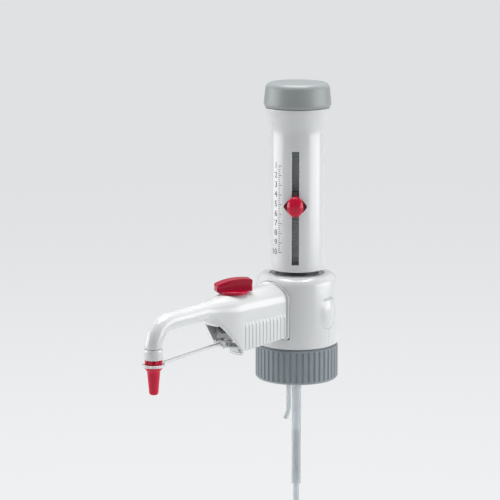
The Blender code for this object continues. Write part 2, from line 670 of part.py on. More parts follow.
def rack_strip():
    """Toothed strip behind the slot, with a foot at each end that holds it to the sleeve."""
    back = RACK_TIP_RADIUS - RACK_TOOTH - RACK_BACKING
    root = RACK_TIP_RADIUS - RACK_TOOTH
    foot_face = math.sqrt((SLEEVE_BORE_RADIUS - RUN_GAP) ** 2 - (RACK_WIDTH / 2) ** 2) - 0.1 * MM
    low, high = SLOT_BOTTOM - RACK_FOOT, SLOT_TOP + RACK_FOOT
    count = int(SLOT_LENGTH / RACK_PITCH)
    start = (SLOT_BOTTOM + SLOT_TOP - count * RACK_PITCH) / 2
    teeth = []
    for k in range(count):
        foot = start + RACK_PITCH * k
        teeth += [(root, foot + 0.2 * RACK_PITCH), (RACK_TIP_RADIUS, foot + 0.5 * RACK_PITCH)]
    outline = [(back, low), (foot_face, low), (foot_face, SLOT_BOTTOM), (root, SLOT_BOTTOM), *teeth,
               (root, SLOT_TOP), (foot_face, SLOT_TOP), (foot_face, high), (back, high)]
    half = RACK_WIDTH / 2
    return on_scale(extruded("rack_strip", outline, -half, half, 1, DARK))


def screw_hole(name):
    hole = rod(name, THUMB_SHAFT_RADIUS + FACE_GAP, SHOE_BACK - 2 * MM, THUMB_BACK + 2 * MM)
    hole.rotation_euler = (0, math.pi / 2, SCALE_AZIMUTH)
    hole.location = (0, 0, POINTER_HEIGHT)
    return hole


def stop_shoe():
    """Slider: a shoe behind the sleeve wall and a stem in the slot that shows above the pointer."""
    half = SHOE_WIDTH / 2
    top = POINTER_HEIGHT + SHOE_ABOVE
    shoe = block("stop_shoe", (SHOE_BACK, -half, POINTER_HEIGHT - SHOE_BELOW), (SHOE_FRONT, half, top), DARK)
    thin = SLOT_WIDTH / 2 - FACE_GAP
    inset = 0.2 * MM
    stem = block("shoe_stem", (SHOE_BACK + inset, -thin, POINTER_HEIGHT - STEM_BELOW),
                 (STEM_FRONT, thin, top - inset))
    on_scale(shoe)
    on_scale(stem)
    join(shoe, stem)
    return cut(shoe, screw_hole("shoe_screw_hole"))


def pointer_plate():
    """Lozenge whose left point reads the scale."""
    round_tip = 0.6 * MM
    blunt = 1.8 * MM
    wide, tall = POINTER_HALF_WIDTH, POINTER_HALF_HEIGHT
    corners = [(wide, -round_tip), (wide, round_tip), (blunt, tall), (-blunt, tall),
               (-wide, round_tip), (-wide, -round_tip), (-blunt, -tall), (blunt, -tall)]
    outline = [(across, POINTER_HEIGHT + up) for across, up in corners]
    front = POINTER_BACK + POINTER_THICKNESS
    plate = on_scale(extruded("pointer_plate", outline, POINTER_BACK, front, 0, RED))
    return cut(plate, screw_hole("plate_screw_hole"))


def thumb_screw():
    """Domed knob on a shaft that clamps the shoe. Its origin is on the screw's axis."""
    dome = arc((0, 0), 1.0, 10, 90, 6)
    rim = [(THUMB_RADIUS * x, THUMB_BACK + THUMB_HEIGHT * (0.35 + 0.65 * y)) for x, y in dome]
    shaft_end = SHOE_BACK + FACE_GAP
    outline = [(0, shaft_end), (THUMB_SHAFT_RADIUS, shaft_end), (THUMB_SHAFT_RADIUS, THUMB_BACK),
               (THUMB_RADIUS - 0.4 * MM, THUMB_BACK), *rim[:-1], (0.0, THUMB_BACK + THUMB_HEIGHT)]
    knob = spun("thumb_screw", outline, RED, COARSE)
    knob.rotation_euler = (0, math.pi / 2, SCALE_AZIMUTH)
    knob.location = (0, 0, POINTER_HEIGHT)
    return knob


# Dispensing arm


def smooth(low, high, value):
    t = min(1.0, max(0.0, (value - low) / (high - low)))
    return t * t * (3 - 2 * t)


def rounded_section(half_width, top, bottom, top_round, bottom_round, steps=5):
    """A closed section: an upright rectangle whose upper and lower corners have their own radii."""
    top_round = min(top_round, half_width)
    bottom_round = min(bottom_round, half_width)
    return (arc((half_width - top_round, top - top_round), top_round, 0, 90, steps)
            + arc((top_round - half_width, top - top_round), top_round, 90, 180, steps)
            + arc((bottom_round - half_width, bottom + bottom_round), bottom_round, 180, 270, steps)
            + arc((half_width - bottom_round, bottom + bottom_round), bottom_round, 270, 360, steps))


def hood_sizes(reach):
    """Half width, top, bottom and corner radii of the hood at a distance along the arm."""
    to_neck = smooth(ARCH_START, ARCH_END, reach)
    share = min(1.0, max(0.0, (reach - ARM_REAR) / (ARCH_START - ARM_REAR)))
    straight = HOOD_REAR_HALF_WIDTH + share * (HOOD_FRONT_HALF_WIDTH - HOOD_REAR_HALF_WIDTH)
    half_width = straight + to_neck * (ROOT_RADIUS - straight)
    falling = smooth(LEVER_REACH, ARCH_END, reach)
    top = HOOD_TOP + falling * (ROOT_HEIGHT + ROOT_RADIUS - HOOD_TOP)
    rise = math.sin(math.pi / 2 * min(1.0, max(0.0, (reach - ARCH_START) / (ARCH_END - ARCH_START))))
    floor = HOOD_BOTTOM + (1 - share) * HOOD_RISE
    bottom = floor + rise * (ROOT_HEIGHT - ROOT_RADIUS - floor)
    top_round = HOOD_ROUND + to_neck * (ROOT_RADIUS - HOOD_ROUND)
    bottom_round = HOOD_EDGE + to_neck * (ROOT_RADIUS - HOOD_EDGE)
    return half_width, top, bottom, top_round, bottom_round


def hood_ring(reach, proud=0.0):
    half_width, top, bottom, top_round, bottom_round = hood_sizes(reach)
    section = rounded_section(half_width + proud, top + proud, bottom - proud,
                              top_round + proud, bottom_round)
    return [(-reach, across, height) for across, height in section]


def neck_path(start, end_height, bend_steps=8):
    """(reach, height, angle below the horizontal) along the gooseneck's centre line."""
    path = [(start, NECK_HEIGHT, 0.0)]
    for k in range(bend_steps + 1):
        angle = math.pi / 2 * k / bend_steps
        out, up = NECK_BEND * math.sin(angle), NECK_BEND * math.cos(angle)
        path.append((BEND_REACH + out, BEND_HEIGHT + up, angle))
    path.append((NECK_REACH, end_height, math.pi / 2))
    return path


def neck_rings(path, radius, steps=5):
    section = rounded_section(radius, radius, -radius, radius, radius, steps)
    rings = []
    for reach, height, angle in path:
        out, rise = math.sin(angle), math.cos(angle)
        rings.append([(-(reach + up * out), across, height + up * rise) for across, up in section])
    return rings


def discharge_housing():
    """Hood and gooseneck in one moulding: an open-bottomed shell that runs out into a bent pipe."""
    flange_end = ARM_REAR + ARM_FLANGE
    body = [ARM_REAR + (ARCH_START - ARM_REAR) * k / 4 for k in range(1, 5)]
    arch = [ARCH_START + (ARCH_END - ARCH_START) * k / 9 for k in range(1, 10)]
    rings = [hood_ring(ARM_REAR, ARM_FLANGE_PROUD), hood_ring(flange_end, ARM_FLANGE_PROUD),
             hood_ring(flange_end + 0.3 * MM)]
    rings += [hood_ring(reach) for reach in body + arch]
    rings += neck_rings(neck_path(BEND_REACH - MM, NECK_END_HEIGHT), NECK_RADIUS)
    hood = lofted("discharge_housing", rings, WHITE)

    ribs = []
    for side in (-1, 1):
        for k in range(GRIP_RIBS):
            reach = GRIP_START + GRIP_PITCH * k
            face, _, floor, _, _ = hood_sizes(reach)
            low, high = floor + 0.5 * MM, HOOD_BOTTOM + GRIP_HEIGHT
            rib = rod(f"grip_rib_{k}_{side}", GRIP_RADIUS, low, high, sides=8)
            rib.location = (-reach, side * (face - 0.25 * MM), 0)
            ribs.append(rib)
    join(hood, *ribs)

    cavity_end = ARCH_START + 0.6 * (ARCH_END - ARCH_START)
    stations = [ARM_REAR - 2 * MM, ARM_REAR + 8 * MM, ARCH_START]
    stations += [ARCH_START + (cavity_end - ARCH_START) * k / 4 for k in range(1, 5)]
    cavity = []
    for reach in stations:
        half_width, top, bottom, top_round, _ = hood_sizes(reach)
        section = rounded_section(half_width - HOOD_WALL, top - HOOD_WALL, bottom - 5 * MM,
                                  top_round - HOOD_WALL, HOOD_EDGE, steps=4)
        cavity.append([(-reach, across, height) for across, height in section])
    bore = neck_rings(neck_path(cavity_end - 2 * MM, NECK_END_HEIGHT - 2 * MM), NECK_BORE_RADIUS, steps=3)
    seat = rod("lever_seat", LEVER_SEAT_RADIUS, LEVER_SEAT_HEIGHT, HOOD_TOP + 5 * MM, sides=FINE)
    hole = rod("plug_hole", PLUG_RADIUS + RUN_GAP, CHAMBER_TOP - 5 * MM, HOOD_TOP + 5 * MM)
    for cutter in (seat, hole):
        cutter.location = (-LEVER_REACH, 0, 0)
    return cut(hood, lofted("hood_cavity", cavity), lofted("neck_bore", bore), seat, hole)


def nozzle_parts():
    """The collar on the gooseneck's end, and the thin tube that carries the liquid through it."""
    bore = TIP_RADIUS + RUN_GAP
    edge = 0.5 * MM
    collar = spun("nozzle_collar", [(bore, NOZZLE_TOP), (NOZZLE_RADIUS - edge, NOZZLE_TOP),
                                    (NOZZLE_RADIUS, NOZZLE_TOP - edge), (NOZZLE_RADIUS, NOZZLE_BOTTOM),
                                    (bore, NOZZLE_BOTTOM)], WHITE, sides=32)
    collar.location = (-NECK_REACH, 0, 0)
    start = LEVER_REACH + CHAMBER_HALF_LENGTH + FACE_GAP
    path = neck_path(start, NOZZLE_BOTTOM - TIP_BELOW_NOZZLE)
    outer = neck_rings(path, TIP_RADIUS, steps=3)
    inner = neck_rings(path, TIP_RADIUS - TIP_WALL, steps=3)
    lofted("discharge_tube", outer + inner[::-1], CLEAR, closed=True)


def recirculation_valve():
    """Chamber for the plug, with an inlet pipe above and a return pipe below, both plugged into the core."""
    rear = LEVER_REACH - CHAMBER_HALF_LENGTH
    front = LEVER_REACH + CHAMBER_HALF_LENGTH
    bottom = RETURN_HEIGHT - RETURN_RADIUS - MM
    chamber = block("recirculation_valve_body", (-front, -CHAMBER_HALF_WIDTH, bottom),
                    (-rear, CHAMBER_HALF_WIDTH, CHAMBER_TOP), FLUORO)
    start = INSERT_RADIUS - PIPE_INSERTION
    inlet = along_arm(rod("inlet_pipe", INLET_RADIUS, start, rear + MM), INLET_HEIGHT)
    back = along_arm(rod("return_pipe", RETURN_RADIUS, start, rear + MM), RETURN_HEIGHT)
    join(chamber, inlet, back)
    clear = 3 * MM
    seat = DISCHARGE_SEAT
    end = seat + DISCHARGE_CHAMBER_LENGTH
    way = [(0, start - clear), (PORT_RADIUS, start - clear), (PORT_RADIUS, seat - MM),
           (DISCHARGE_CHAMBER_RADIUS, seat), (DISCHARGE_CHAMBER_RADIUS, end), (PORT_RADIUS, end + MM),
           (PORT_RADIUS, LEVER_REACH + MM), (0, LEVER_REACH + MM)]
    inlet_bore = along_arm(spun("inlet_bore", way, sides=COARSE), INLET_HEIGHT)
    return_bore = along_arm(rod("return_bore", RETURN_RADIUS - MM, start - clear, LEVER_REACH), RETURN_HEIGHT)
    outlet_bore = along_arm(rod("outlet_bore", PORT_RADIUS, LEVER_REACH - MM, front + clear), NECK_HEIGHT)
    plug_way = rod("plug_way", PLUG_RADIUS + RUN_GAP, plug_bottom() - RUN_GAP, CHAMBER_TOP + clear)
    plug_way.location = (-LEVER_REACH, 0, 0)
    return cut(chamber, inlet_bore, return_bore, outlet_bore, plug_way)


def plug_bottom():
    return LEVER_SEAT_HEIGHT - PLUG_LENGTH - LEVER_STEM_RADIUS


def valve_plug():
    """Turned plug with a cross port and a socket for the lever's stem."""
    top = LEVER_SEAT_HEIGHT
    socket = LEVER_STEM_RADIUS + FACE_GAP
    floor = top - LEVER_STEM_LENGTH - FACE_GAP
    low = plug_bottom()
    plug = spun("valve_plug", [(0, low), (PLUG_RADIUS, low), (PLUG_RADIUS, top), (socket, top),
                               (socket, floor), (0, floor)], FLUORO, COARSE)
    plug.location = (-LEVER_REACH, 0, 0)
    port_height = (INLET_HEIGHT + NECK_HEIGHT) / 2
    port = along_arm(rod("plug_port", PORT_RADIUS, -PLUG_RADIUS - 2 * MM, PLUG_RADIUS + 2 * MM), port_height)
    port.location.x = -LEVER_REACH
    return cut(plug, port)


def lever():
    """Red grip: a crowned wedge that falls to its nose, askew on a round base with a stem into the plug."""
    base = LEVER_SEAT_HEIGHT + FACE_GAP
    top = base + LEVER_DISC_HEIGHT
    long, half = LEVER_HALF_LENGTH, LEVER_WIDTH / 2
    under = base + 1.0 * MM
    tail = base + LEVER_TAIL_HEIGHT
    nose = base + LEVER_NOSE_HEIGHT
    crest = [(long * (1 - 2 * t), tail - (tail - nose) * t ** 3 + LEVER_CROWN * math.sin(math.pi * t))
             for t in (0.08, 0.25, 0.45, 0.65, 0.85)]
    outline = [(long - MM, under), (long, tail - 2 * MM), *crest,
               (-long, nose - 1.5 * MM), (-long, under + MM), (-long + 2 * MM, under)]
    wedge = extruded("recirculation_lever", outline, -half, half, 1, RED)
    bevel(wedge, 1.1 * MM, 2, 30)
    edge = 0.6 * MM
    stem_end = LEVER_SEAT_HEIGHT - LEVER_STEM_LENGTH
    disc = spun("lever_disc", [(0, top), (LEVER_DISC_RADIUS - edge, top), (LEVER_DISC_RADIUS, top - edge),
                               (LEVER_DISC_RADIUS, base), (LEVER_STEM_RADIUS, base),
                               (LEVER_STEM_RADIUS, stem_end), (0, stem_end)])
    wedge.rotation_euler = (0, 0, -LEVER_TURN)
    for piece in (wedge, disc):
        piece.location = (-LEVER_REACH, 0, 0)
    return join(wedge, disc)


def discharge_check_valve():
    """Ball and spring that let liquid out of the cylinder and not back."""
    centre = DISCHARGE_SEAT + DISCHARGE_BALL_RADIUS
    ball("discharge_valve_ball", DISCHARGE_BALL_RADIUS, (-centre, 0, INLET_HEIGHT), GLASS)
    start = centre + DISCHARGE_BALL_RADIUS + DISCHARGE_TRAVEL + BALL_GAP + SPRING_WIRE_RADIUS
    per_turn = 10
    count = SPRING_TURNS * per_turn
    points = []
    for k in range(count + 1):
        angle = 2 * math.pi * k / per_turn
        points.append(Vector((-start - SPRING_LENGTH * k / count, SPRING_RADIUS * math.cos(angle),
                              INLET_HEIGHT + SPRING_RADIUS * math.sin(angle))))
    curve = bpy.data.curves.new("discharge_spring", "CURVE")
    curve.dimensions = "3D"
    curve.bevel_depth = SPRING_WIRE_RADIUS
    curve.bevel_resolution = 1
    curve.use_fill_caps = True
    spline = curve.splines.new("POLY")
    spline.points.add(count)
    for point, place in zip(spline.points, points):
        point.co = (*place, 1.0)
    curve.materials.append(STEEL)
    spring = bpy.data.objects.new("discharge_spring", curve)
    bpy.context.scene.collection.objects.link(spring)
    least = min((points[i] - points[j]).length for i in range(count) for j in range(i + per_turn // 2, count))
    print(f"discharge_spring least gap between turns {(least - 2 * SPRING_WIRE_RADIUS) / MM:.2f} mm")


def tube_lock():
    """Fork that holds the arm: it straddles both pipes from below and is pushed up to free the arm."""
    gap = INLET_RADIUS + RUN_GAP
    floor = RETURN_HEIGHT - RETURN_RADIUS - LOCK_TRAVEL - RUN_GAP
    half, foot = LOCK_HALF_WIDTH, hood_sizes(LOCK_REACH)[2] - LOCK_TAB
    outline = [(half, foot), (half, LOCK_TOP), (gap, LOCK_TOP), (gap, floor), (-gap, floor), (-gap, LOCK_TOP),
               (-half, LOCK_TOP), (-half, foot)]
    return extruded("tube_lock", outline, -LOCK_REACH - LOCK_THICKNESS, -LOCK_REACH, 0, WHITE)


# Nozzle cap and tether


def nozzle_cap():
    """Red stopper: a short rim that the tether's ring holds, over a hollow tapered finger."""
    top = NOZZLE_CAP_TOP
    rim_bottom = top - CAP_RIM
    point = top - CAP_LENGTH
    groove = CAP_MOUTH_RADIUS - 0.5 * MM
    ring_low, ring_high = TETHER_RING_TOP - TETHER_RING_HEIGHT - FACE_GAP, TETHER_RING_TOP + FACE_GAP
    tip = arc((CAP_POINT_RADIUS - CAP_TIP_ROUND, point + CAP_TIP_ROUND), CAP_TIP_ROUND, 0, -90, 3)
    bore_end = TIP_RADIUS + 0.8 * MM
    mouth = CAP_MOUTH_RADIUS
    outline = [(CAP_BORE_RADIUS, top), (mouth, top), (mouth, ring_high), (groove, ring_high),
               (groove, ring_low), (mouth, ring_low), (mouth, rim_bottom),
               (CAP_CONE_RADIUS, rim_bottom - CAP_FLARE), *tip, (0, point), (0, point + CAP_FLOOR),
               (bore_end, point + CAP_FLOOR), (bore_end, rim_bottom - CAP_FUNNEL),
               (CAP_BORE_RADIUS - MM, rim_bottom)]
    cap = spun("nozzle_cap", outline[::-1], RED, COARSE)
    cap.location = (-NECK_REACH, 0, 0)
    return cap


def tether_parts():
    """White ring and rod that keep the cap, hinged on a pin in a bracket under the hood."""
    inner = CAP_MOUTH_RADIUS - 0.5 * MM + RUN_GAP
    low = TETHER_RING_TOP - TETHER_RING_HEIGHT
    eye_bore = PIN_RADIUS + RUN_GAP
    eye = ring("cap_tether", eye_bore, EYE_RADIUS, -EYE_HALF_WIDTH, EYE_HALF_WIDTH, WHITE, COARSE)
    eye.rotation_euler = (math.pi / 2, 0, 0)
    eye.location = (-PIVOT_REACH, 0, PIVOT_HEIGHT)
    keeper = ring("tether_ring", inner, TETHER_RING_RADIUS, low, TETHER_RING_TOP, sides=32)
    keeper.location = (-NECK_REACH, 0, 0)
    start = Vector((-PIVOT_REACH - PIN_RADIUS - RUN_GAP - 0.4 * MM, 0, PIVOT_HEIGHT))
    end = Vector((-NECK_REACH + (inner + TETHER_RING_RADIUS) / 2, 0, (low + TETHER_RING_TOP) / 2))
    span = end - start
    bar = rod("tether_rod", TETHER_ROD_RADIUS, 0, span.length, sides=12)
    bar.rotation_mode = "QUATERNION"
    bar.rotation_quaternion = span.to_track_quat("Z", "Y")
    bar.location = start
    join(eye, keeper, bar)

    ear_inner = EYE_HALF_WIDTH + FACE_GAP
    ear_outer = ear_inner + EAR_THICKNESS
    bottom = HOOD_BOTTOM + BRACKET_LIFT
    half = HOOD_FRONT_HALF_WIDTH - HOOD_WALL - FACE_GAP
    plate = block("tether_bracket", (-BRACKET_FRONT, -half, bottom),
                  (-BRACKET_REAR, half, bottom + BRACKET_THICKNESS), WHITE)
    bevel(plate, 0.4 * MM, 2)
    tongue_top = HOOD_BOTTOM - FACE_GAP
    tongue = block("bracket_tongue", (-TONGUE_FRONT, -HOOD_FRONT_HALF_WIDTH, tongue_top - TONGUE_THICKNESS),
                   (-TONGUE_REAR, -TONGUE_INNER, tongue_top))
    bevel(tongue, 0.7 * MM, 2)
    inset = 0.4 * MM
    web = block("tongue_web", (inset - TONGUE_FRONT, inset - half, tongue_top - TONGUE_THICKNESS / 2),
                (-inset - TONGUE_REAR, -inset - TONGUE_INNER, bottom + BRACKET_THICKNESS / 2))
    ears = [tongue, web]
    for side in (-1, 1):
        low_y, high_y = sorted((side * ear_inner, side * ear_outer))
        front = PIVOT_REACH + EYE_RADIUS
        ears.append(block(f"bracket_ear_{side}", (-front, low_y, bottom + 0.2 * MM),
                          (-PIVOT_REACH + EYE_RADIUS + 3 * MM, high_y, PIVOT_HEIGHT + EYE_RADIUS)))
    join(plate, *ears)
    hole = rod("pin_hole", PIN_RADIUS + FACE_GAP, -ear_outer - 2 * MM, ear_outer + 2 * MM)
    pin = rod("tether_pin", PIN_RADIUS, -ear_outer - 0.4 * MM, ear_outer + 0.4 * MM, STEEL)
    for piece in (hole, pin):
        piece.rotation_euler = (math.pi / 2, 0, 0)
        piece.location = (-PIVOT_REACH, 0, PIVOT_HEIGHT)
    cut(plate, hole)


# Filling valve and tubes


def filling_valve():
    """Screwed-in valve seat with a hose olive below and a ball chamber above."""
    thread_bottom = INSERT_BOTTOM - FACE_GAP
    thread_top = INSERT_BOTTOM + VALVE_THREAD_LENGTH
    seat = VALVE_CHAMBER_RADIUS
    barb = 0.3 * MM
    barbs = []
    for k in range(3):
        high = -VALVE_FLANGE_DROP - 3 * MM - k * 3.5 * MM
        slim = OLIVE_RADIUS - barb
        barbs += [(slim, high), (OLIVE_RADIUS, high - 0.6 * MM), (slim, high - 3 * MM)]
    outline = [(VALVE_BORE_RADIUS, OLIVE_BOTTOM), (OLIVE_RADIUS - 2 * barb, OLIVE_BOTTOM), *barbs[::-1],
               (OLIVE_RADIUS - barb, -VALVE_FLANGE_DROP), (VALVE_FLANGE_RADIUS, -VALVE_FLANGE_DROP),
               (VALVE_FLANGE_RADIUS, thread_bottom), (VALVE_THREAD_RADIUS, thread_bottom),
               (VALVE_THREAD_RADIUS, thread_top), (VALVE_CHAMBER_RADIUS, thread_top),
               (VALVE_CHAMBER_RADIUS, seat), (VALVE_BORE_RADIUS, VALVE_BORE_RADIUS)]
    spun("filling_valve", outline[::-1], FLUORO, sides=COARSE)
    ball("filling_valve_ball", VALVE_BALL_RADIUS, (0, 0, BALL_REST), GLASS)


def bottle_tubes():
    """Telescopic filling tube in two lengths, and the short return tube with a kicked-out end."""
    bore = FILL_TUBE_RADIUS - FILL_TUBE_WALL
    ring("filling_tube_upper", bore, FILL_TUBE_RADIUS, FILL_TUBE_BOTTOM, FILL_TUBE_TOP, CLEAR, sides=COARSE)
    outer = bore - RUN_GAP
    inner = outer - LOWER_TUBE_WALL
    lower = ring("filling_tube_lower", inner, outer, LOWER_TUBE_BOTTOM, LOWER_TUBE_BOTTOM + LOWER_TUBE_LENGTH,
                 CLEAR, sides=COARSE)
    wide = outer + MM
    low = LOWER_TUBE_BOTTOM
    slant = [(-wide, low - MM), (wide, low - MM), (wide, low + LOWER_TUBE_MITRE), (-wide, low)]
    mitre = extruded("tube_mitre", slant, -wide, wide, 1)
    cut(lower, mitre)

    radius, wall = RETURN_TUBE_RADIUS, RETURN_TUBE_WALL
    top = RETURN_HEIGHT - RETURN_RADIUS - FACE_GAP
    kick = RETURN_TUBE_END - 8 * MM
    path = [(RETURN_TUBE_REACH, top, 0.0), (RETURN_TUBE_REACH, -kick, 0.0)]
    for k in range(1, 5):
        share = k / 4
        path.append((RETURN_TUBE_REACH + RETURN_TUBE_KICK * share ** 2, -kick - 8 * MM * share, share * 0.6))

    def rings(r):
        made = []
        for reach, height, lean in path:
            circle = arc((0, 0), r, 0, 360, 12)[:-1]
            made.append([(-(reach + x * math.cos(lean)), y, height + x * math.sin(lean)) for x, y in circle])
        return made

    lofted("recirculation_tube", rings(radius) + rings(radius - wall)[::-1], CLEAR, closed=True)


bottle_collar()
mouth_parts()
valve_block()
vent_cap()
valve_insert()
cylinder_parts()
piston_parts()
stroke_sleeve()
calibration_cap()
rack_strip()
stop_shoe()
pointer_plate()
thumb_screw()
discharge_housing()
nozzle_parts()
recirculation_valve()
valve_plug()
lever()
discharge_check_valve()
tube_lock()
nozzle_cap()
tether_parts()
filling_valve()
bottle_tubes()
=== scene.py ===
import json
import math

import bmesh
import bpy
import numpy as np
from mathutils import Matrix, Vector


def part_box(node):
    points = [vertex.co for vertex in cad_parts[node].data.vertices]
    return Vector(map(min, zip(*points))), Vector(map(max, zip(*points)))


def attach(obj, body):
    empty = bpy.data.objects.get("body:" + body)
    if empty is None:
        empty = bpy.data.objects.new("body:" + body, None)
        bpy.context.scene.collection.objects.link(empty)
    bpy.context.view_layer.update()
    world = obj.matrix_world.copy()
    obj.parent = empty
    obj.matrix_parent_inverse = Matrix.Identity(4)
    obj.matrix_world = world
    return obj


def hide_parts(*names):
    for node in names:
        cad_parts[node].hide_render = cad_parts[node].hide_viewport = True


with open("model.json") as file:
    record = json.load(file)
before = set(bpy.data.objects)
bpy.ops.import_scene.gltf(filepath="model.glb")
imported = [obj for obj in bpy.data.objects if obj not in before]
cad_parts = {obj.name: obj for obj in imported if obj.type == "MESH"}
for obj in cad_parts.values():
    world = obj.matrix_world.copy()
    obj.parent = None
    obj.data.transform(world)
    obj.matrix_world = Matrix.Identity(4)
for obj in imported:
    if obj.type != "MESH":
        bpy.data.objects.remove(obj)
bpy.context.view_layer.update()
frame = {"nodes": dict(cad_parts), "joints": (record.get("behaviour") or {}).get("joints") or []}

# Bottle collar.
# A grey moulded nut with grip flutes outside and the bottle's thread inside.
# It hangs on the block by an inward lip, so that it can be turned while the block stays still.
MM = 0.001
SHARP, SHARP_CUT = math.radians(38), math.radians(32)


def span(node):
    """The lowest and highest corner of a solid at rest, in millimetres."""
    low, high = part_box(node)
    return np.round(np.array(low) / MM, 2), np.round(np.array(high) / MM, 2)


def placed(name, mesh, material):
    """A mesh as an object of one material, put in the scene."""
    mesh.materials.append(material)
    made = bpy.data.objects.new(name, mesh)
    bpy.context.scene.collection.objects.link(made)
    return made


def skin(name, grid, material, rows_meet=False, columns_meet=True):
    """A mesh over a grid of points in millimetres: a quad between each four neighbours. Rows or columns that
    meet close the grid, and points that coincide become one."""
    count = np.arange(grid.shape[0] * grid.shape[1]).reshape(grid.shape[:2])
    if rows_meet:
        count = np.vstack([count, count[:1]])
    if columns_meet:
        count = np.hstack([count, count[:, :1]])
    quads = np.stack([count[:-1, :-1], count[:-1, 1:], count[1:, 1:], count[1:, :-1]], -1).reshape(-1, 4)
    mesh = bpy.data.meshes.new(name)
    mesh.from_pydata((grid.reshape(-1, 3) * MM).tolist(), [], quads.tolist())
    shell = bmesh.new()
    shell.from_mesh(mesh)
    bmesh.ops.remove_doubles(shell, verts=shell.verts, dist=2e-7)
    bmesh.ops.dissolve_degenerate(shell, edges=shell.edges, dist=1e-7)
    bmesh.ops.recalc_face_normals(shell, faces=shell.faces)
    shell.to_mesh(mesh)
    shell.free()
    mesh.shade_smooth()
    mesh.set_sharp_from_angle(angle=SHARP)
    return placed(name, mesh, material)


def filleted(corners, closed=True, steps=7):
    """An outline with rounded corners: each corner is (across, up, radius), and its arc is the slerp between
    the two tangent points about the fillet's centre."""
    outline = []
    for k, (x, y, radius) in enumerate(corners):
        here = np.array([x, y])
        if radius == 0 or (not closed and k in (0, len(corners) - 1)):
            outline.append(here[None])
            continue
        last, after = corners[k - 1], corners[(k + 1) % len(corners)]
        back, ahead = np.array(last[:2]) - here, np.array(after[:2]) - here
        room = min(np.linalg.norm(back) * (0.499 if last[2] else 0.999),
                   np.linalg.norm(ahead) * (0.499 if after[2] else 0.999))
        back, ahead = back / np.linalg.norm(back), ahead / np.linalg.norm(ahead)
        half = math.acos(np.clip(back @ ahead, -1, 1)) / 2
        run = min(radius / math.tan(half), room)
        centre = here + (back + ahead) / np.linalg.norm(back + ahead) * run / math.cos(half)
        start, end = here + back * run - centre, here + ahead * run - centre
        turn = math.pi - 2 * half
        t = np.linspace(0, 1, steps)[:, None]
        outline.append(centre + (np.sin((1 - t) * turn) * start + np.sin(t * turn) * end) / math.sin(turn))
    return np.vstack(outline)


def divided(outline, step, closed=True):
    """The same outline with its long straight runs cut into pieces no longer than step."""
    ends = np.vstack([outline[1:], outline[:1]]) if closed else outline[1:]
    runs = []
    for a, b in zip(outline, ends):
        pieces = max(1, int(np.ceil(np.linalg.norm(b - a) / step)))
        runs.append(a + (b - a) * np.arange(pieces)[:, None] / pieces)
    return np.vstack(runs + ([] if closed else [outline[-1:]]))


def turned(outline, sides, centre=(0, 0, 0), shift=None):
    """A grid turned about an upright axis: x = r cos a, y = r sin a, z = height. Sides is a count or the
    angles themselves. Shift gives a change of radius from radius, height and angle."""
    angle = (np.linspace(0, 2 * np.pi, sides, endpoint=False) if np.isscalar(sides) else sides)[None, :]
    radius, height = outline[:, :1] + 0 * angle, outline[:, 1:] + 0 * angle
    if shift is not None:
        radius = radius + shift(radius, height, angle)
    return np.stack([radius * np.cos(angle), radius * np.sin(angle), height], -1) + np.array(centre)


def ease(low, high, value):
    """0 below low, 1 above high and a smooth cubic between."""
    t = np.clip((value - low) / (high - low), 0, 1)
    return t * t * (3 - 2 * t)


def feed(node, values):
    """Sets a shader node's inputs by name."""
    for name, value in values.items():
        node.inputs[name].default_value = value


def moulded(name, colour, roughness, mottle=0.05, grain=900.0, relief=0.03, clouds=28.0, depth=0.0,
            shine=0.0, reflection=0.5):
    """Injection-moulded plastic: broad clouds shift the colour a little, finer noise the roughness, and a
    very fine grain lifts the surface. Depth is how far light goes in, shine a clear gloss on top."""
    made = bpy.data.materials.new(name)
    made.use_nodes = True
    nodes, link = made.node_tree.nodes, made.node_tree.links.new
    shader = nodes["Principled BSDF"]
    feed(shader, {"Specular IOR Level": reflection})
    place = nodes.new("ShaderNodeTexCoord")

    def noise(scale, detail):
        found = nodes.new("ShaderNodeTexNoise")
        feed(found, {"Scale": scale, "Detail": detail})
        link(place.outputs["Object"], found.inputs["Vector"])
        return found.outputs["Fac"]

    tint = nodes.new("ShaderNodeValToRGB")
    darker, paler = tint.color_ramp.elements
    darker.position, paler.position = 0.3, 0.7
    darker.color = (*[c * (1 - mottle) for c in colour], 1)
    paler.color = (*[min(1.0, c * (1 + mottle)) for c in colour], 1)
    link(noise(clouds, 3), tint.inputs["Fac"])
    link(tint.outputs["Color"], shader.inputs["Base Color"])
    dull = nodes.new("ShaderNodeMapRange")
    feed(dull, {"To Min": max(0.02, roughness - 0.05), "To Max": roughness + 0.06})
    link(noise(clouds * 7, 4), dull.inputs["Value"])
    link(dull.outputs["Result"], shader.inputs["Roughness"])
    bump = nodes.new("ShaderNodeBump")
    feed(bump, {"Strength": relief, "Distance": 0.0004})
    link(noise(grain, 5), bump.inputs["Height"])
    link(bump.outputs["Normal"], shader.inputs["Normal"])
    if depth:
        feed(shader, {"Subsurface Weight": 0.3, "Subsurface Scale": depth,
                      "Subsurface Radius": (1.0, 0.9, 0.85)})
    if shine:
        feed(shader, {"Coat Weight": shine, "Coat Roughness": 0.14})
    return made


def fit(piece, body, slot, *stands_for):
    """Puts a finished piece on its body, in the place of the solids that it stands for."""
    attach(piece, body)
    if stands_for:
        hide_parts(*stands_for)
    return piece


